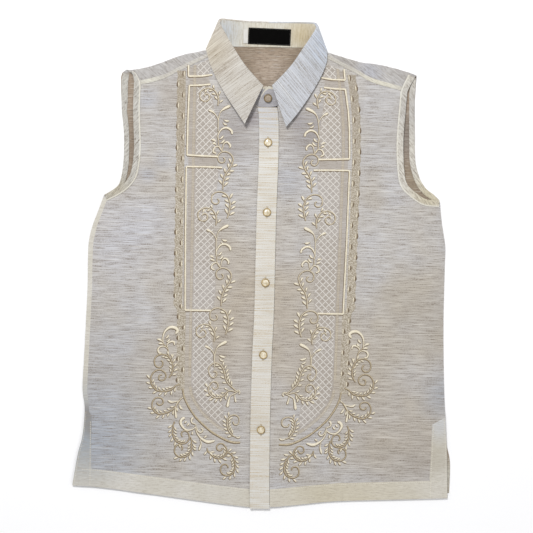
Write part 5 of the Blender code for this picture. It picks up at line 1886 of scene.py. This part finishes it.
FLOURISH_LINES = (
    # rows of distance from the middle, y, width
    (
        (150.3, -119.9, 1.1), (150.7, -110.4, 1.6), (147.6, -101.7, 2.2), (140.8, -96, 3),
        (133.1, -96.3, 3.3), (128.7, -100.6, 3.1), (132.1, -105.3, 2.2),
    ),
    (
        (143.3, -125.8, 1), (144.3, -121.5, 1.3), (139.6, -117.5, 2), (134.4, -117.4, 2.1),
        (133.1, -122.6, 1.6),
    ),
    (
        (143.3, -127.9, 1), (148.1, -124.5, 1.2), (154.6, -125.1, 1.8), (157.9, -129.4, 2.1),
        (156.1, -134.6, 1.9), (152.3, -134.5, 1.4),
    ),
    (
        (150.3, -119.9, 1.1), (146.5, -124.2, 1.1), (143, -128.4, 1.1), (142.3, -134.4, 1.1),
        (141.4, -138.6, 1.1),
    ),
    (
        (118.4, -199.5, 1.1), (126.5, -207, 1.1), (130.4, -216.9, 1.3), (129.9, -224.3, 2.2),
        (128.8, -231.7, 2.6),
    ),
    ((126.5, -206.2, 0.9), (133.9, -207.9, 1.6), (138, -207.5, 2.4), (141.7, -205.2, 1.6)),
    (
        (115.8, -231.1, 3), (120.3, -233.2, 3), (122.2, -238.2, 3), (118.4, -245.6, 2.2),
        (111.8, -249.6, 1.8), (104.4, -248.2, 1.4), (99.5, -244.4, 1.2),
    ),
    (
        (103.5, -230.1, 2.4), (105.9, -233.8, 2.2), (105.4, -237.9, 1.5), (101.2, -239.9, 1.1),
        (98.8, -241.2, 1.1),
    ),
    (
        (98.8, -240.3, 1), (99.5, -245.2, 1.1), (97.7, -252.6, 1.4), (92.7, -259.9, 1.8), (86, -264.8, 2.8),
        (79.4, -266.7, 3.2), (70.4, -264.5, 1.8),
    ),
    (
        (98.3, -244.4, 1), (96.2, -250.1, 1.3), (92, -252.5, 1.6), (88.8, -250, 1.6), (89.6, -246.7, 1.3),
        (92.3, -246.6, 1.2),
    ),
    ((92.6, -262.4, 0.9), (90.9, -269, 1.4), (92.4, -274.8, 2.4), (94, -279.7, 1.6)),
)
FLOURISH_LEAVES = (
    # base and tip as distance from the middle, y, then the width
    (147.4, -112.9, 142.4, -106.8, 2.4), (146.1, -118, 140.5, -113.2, 2.4),
    (150.8, -118.1, 159.9, -114, 2.6), (149.4, -122, 157.6, -120.8, 2.4), (138, -139.4, 137.4, -135.6, 2),
    (124.4, -210.3, 119.3, -218.8, 2.6), (113.5, -243, 109.5, -238.5, 2.2),
    (117, -238.8, 113.5, -235.6, 2.2), (87.7, -259.9, 82.8, -257.3, 2.2),
    (103.5, -251.1, 103.9, -256.4, 2.2),
)
flourish = scrolls_of(FLOURISH_SCROLLS) + lines_of(FLOURISH_LINES) + leaves_of(FLOURISH_LEAVES)

vines, flourishes = {}, {}
for side in (-1, 1):
    for kept, kind, strokes, stem in (
        (vines, "vine", vine, pale_stem_thread),
        (flourishes, "flourish", flourish, tan_stem_thread),
    ):
        bag = new_bag()
        for path, width, height in strokes:
            satin(bag, turned_left(side, path), width, height, region=0 if width.max() > 1.9 else 2)
        kept[side] = sewn_on(f"{kind}_{SIDE_NAMES[side]}", bag, [cream_thread, painted_shade_thread, stem])

# %% [markdown]
# ## Machine stitches
#
# A shirt is held together by lines of small stitches: along the top of the hem, round the facings, down both
# edges of the band, above the yoke's seam and, in dark thread, round the label. One function lays a dashed
# line of them on any path. They are finer than a millimetre, so they read as a faint even line, as they do on
# a real shirt. The buttonholes are two beads of closer stitching and a bar across each end, and only their
# ends peep out past the buttons.

# %% Machine stitches
STITCH_PITCH, STITCH_LENGTH = 3.2, 2.3
HEM_STITCH_IN, BAND_STITCH_IN, LABEL_STITCH_IN = 1.8, 2.2, 1.2  # from the edge that they hold down
BUTTONHOLE_HALF = 8.6
WIDE_STITCH, STITCH, FINE_STITCH = 0.8, 0.6, 0.3


def stitched(bag, path, width=STITCH):
    """A line of machine stitches along a path."""
    path = evenly(path, STITCH_PITCH)
    for a, b in zip(path, path[1:]):
        ends = [a, (a + b) / 2, a + (b - a) * STITCH_LENGTH / STITCH_PITCH]
        lay(bag, ends, width * np.array((0.85, 1.0, 0.85)), 0.24)


for side in (-1, 1):
    bag = new_bag()
    hem_x = np.linspace(side * 18.0, side * 270.0, 60)
    stitched(bag, [(x, hem_y(x) + HEM_WIDTH - HEM_STITCH_IN) for x in hem_x], WIDE_STITCH)
    facing_y = np.linspace(hem_y(side * FACING_X) + 3, SLIT_TOP_Y - 14, 30)
    stitched(bag, [(facing_x(y, side) + side * HEM_STITCH_IN, y) for y in facing_y], WIDE_STITCH)
    low_y = hem_y(side * 262.0) + 2
    stitched(bag, [(side_x(y, side) - side * 2.0, y) for y in np.linspace(low_y, SLIT_TOP_Y, 30)])
    sewn_on(f"hem_stitches_{SIDE_NAMES[side]}", bag, [sewing_thread])
bag = new_bag()
for edge_x in (-BAND_HALF + BAND_STITCH_IN, BAND_HALF - BAND_STITCH_IN):
    stitched(bag, [(edge_x, y) for y in np.linspace(BAND_BOTTOM_Y + 2, BAND_TOP_Y - 2, 120)])
for x, y in BUTTONS_ON_BAND:
    x = x - lean_at(y)
    for edge_x in (-0.75, 0.75):
        bead = [(x + edge_x, y - BUTTONHOLE_HALF), (x + edge_x, y + BUTTONHOLE_HALF)]
        lay(bag, evenly(bead, 2.0), 0.75, 0.3, region=1)
    for end_y in (y - BUTTONHOLE_HALF, y + BUTTONHOLE_HALF):
        lay(bag, evenly([(x - 1.3, end_y), (x + 1.3, end_y)], 1.0), 0.8, 0.34, region=1)
on_band = [sewing_thread, tan_stem_thread]
band_stitches = sewn_on("band_stitches", bag, on_band, "band", lambda x, y: band_top(y) - 0.05)
bag = new_bag()
for side in (-1, 1):
    seam = [(x, y + 2.0) for x, y in seam_line(side) if 84 < abs(x) < 202]
    stitched(bag, seam)
yoke_stitches = sewn_on("yoke_stitches", bag, [sewing_thread], top=shirt_top)
bag = new_bag()
across, up = (size / 2 - LABEL_STITCH_IN for size in LABEL_SIZE)
corners = np.array([(-across, -up), (across, -up), (across, up), (-across, up), (-across, -up)])
corners = corners @ np.array([(1.0, LABEL_TURN), (-LABEL_TURN, 1.0)]) + LABEL_CENTRE
for a, b in zip(corners, corners[1:]):
    stitched(bag, [a, b], FINE_STITCH)
dark_thread = thread_finish("grey_label_thread", "#77756F", "#3B3A37")
label_stitches = sewn_on("label_stitches", bag, [dark_thread], "label", label_top)

# %% [markdown]
# ## The cut of the cloth, printed
#
# Widths and lengths are of the cut that shows; the areas come from the outlines above.

# %% Printed cuts of the sheets
BACK_CUT = (0.567, 0.59)  # metres
FRONT_CUTS = {-1: (0.297, 0.68), 1: (0.268, 0.68)}
LEAST_WIDTH = 0.01  # the least that can be declared; the back bindings are narrower, and keep their true area


def grid_size(grid):
    """(length, width, area) in metres of a cloth made on a grid of rows, laid out flat."""
    along = np.linalg.norm(np.diff(grid, axis=0), axis=2).sum(axis=0).max() * MM
    across = np.linalg.norm(np.diff(grid, axis=1), axis=2).sum(axis=1).max() * MM
    one, other = grid[1:, 1:] - grid[:-1, :-1], grid[1:, :-1] - grid[:-1, 1:]
    area = np.linalg.norm(np.cross(one, other), axis=2).sum() / 2 * MM * MM
    return float(along), float(across), float(area)


def declare(piece, size, area):
    """Print the cut of a sheet of cloth: its name, size and area."""
    print(f"{piece.name}: {size[0]:.3f} x {size[1]:.3f} m, {area:.4f} m2")


declare(back_panel, BACK_CUT, plan_area(back_outline))
for side, front, outline in ((-1, front_right, right_outline), (1, front_left, left_outline)):
    declare(front, FRONT_CUTS[side], plan_area(outline))
yoke_width, yoke_depth = (float(v) * MM for v in np.ptp(yoke_cut, axis=0))
declare(yoke, (yoke_width, yoke_depth), plan_area(yoke_cut))
for made in bindings:
    outer_line, inner_line = binding_edges[made.name]
    length = float(np.linalg.norm(np.diff(outer_line, axis=0), axis=1).sum()) * MM
    under = front_right if "right" in made.name else front_left
    if made.name.endswith("back"):
        under = back_panel
    width = BINDING_WIDTHS[made.name.removeprefix("binding_")] * MM
    declare(made, (max(width, LEAST_WIDTH), length), width * length)
band_width, band_length = 2 * BAND_HALF * MM, (BAND_TOP_Y - BAND_BOTTOM_Y) * MM
declare(band, (band_width, band_length), band_width * band_length)
fall_length, fall_width, fall_area = grid_size(fall_grid)
declare(fall, (fall_length, fall_width), fall_area)
stand_length, stand_width, stand_area = grid_size(stand_grid)
declare(stand, (stand_length, stand_width), stand_area)
label_length, label_width = (v * MM for v in LABEL_SIZE)
declare(label, (label_length, label_width), label_length * label_width)

# %% [markdown]
# ## Table, light and camera
#
# The shirt lies on a plain white table under a large soft light from above its collar, so that folds shade
# down towards the hem. The camera looks straight down, turned by less than a degree, as a hand-held shot over
# a flat lay is. Standard colour view keeps the white of the table white.

# %% Table, light and camera
FRAME_WIDTH = 799.6  # of the view at the cloth
CAMERA_HEIGHT = 1850.0
CAMERA_OVER = (2.7, -2.2)
CAMERA_TURN = 0.94
SENSOR = 36.0
FLOOR_HALF, FLOOR_GAP = 3.0, 0.0002  # metres
ROOM_LIGHT = 0.5

floor_mesh = bpy.data.meshes.new("floor")
corners = [(x * FLOOR_HALF, y * FLOOR_HALF, 0) for x, y in ((-1, -1), (1, -1), (1, 1), (-1, 1))]
floor_mesh.from_pydata(corners, [], [(0, 1, 2, 3)])
floor = bpy.data.objects.new("floor", floor_mesh)
floor.location.z = -FLOOR_GAP
bpy.context.scene.collection.objects.link(floor)
floor_paper, tree, shader = new_finish("white_table_paper", roughness=0.9)
place = add_node(tree, "TexCoord").outputs["Object"]
grain = add_node(tree, "TexNoise", Vector=place, Scale=900.0, Detail=2.0).outputs["Fac"]
paper_tone = add_node(tree, "Mix", COLOUR_MIX, _0=grain, _6=linear("#FBFBFB"), _7=linear("#FFFFFF"))
tree.links.new(paper_tone.outputs[2], shader.inputs["Base Color"])
floor_mesh.materials.append(floor_paper)

world = bpy.data.worlds.new("soft_room")
bpy.context.scene.world = world
world.use_nodes = True
room = world.node_tree.nodes["Background"]
room.inputs["Color"].default_value = linear("#FCFCFF")
room.inputs["Strength"].default_value = ROOM_LIGHT


def soft_box(name, location, size, power):
    """A square area light that looks at the middle of the table."""
    data = bpy.data.lights.new(name, "AREA")
    data.shape = "SQUARE"
    data.size = size
    data.energy = power
    made = bpy.data.objects.new(name, data)
    made.location = location
    made.rotation_euler = (-Vector(location)).to_track_quat("-Z", "Y").to_euler()
    bpy.context.scene.collection.objects.link(made)
    return made


soft_box("key_soft_box", (-0.45, 1.15, 2.0), 0.45, 36.0)
soft_box("fill_soft_box", (1.4, -1.0, 1.8), 1.6, 9.0)

camera_data = bpy.data.cameras.new("camera_over_table")
camera_data.sensor_width = SENSOR
camera_data.lens = SENSOR * CAMERA_HEIGHT / FRAME_WIDTH
camera = bpy.data.objects.new("camera_over_table", camera_data)
camera.location = (CAMERA_OVER[0] * MM, CAMERA_OVER[1] * MM, (CAMERA_HEIGHT + 4) * MM)
camera.rotation_euler = (0, 0, math.radians(CAMERA_TURN))
bpy.context.scene.collection.objects.link(camera)
bpy.context.scene.camera = camera
bpy.context.scene.view_settings.view_transform = "Standard"
bpy.context.scene.view_settings.look = "None"
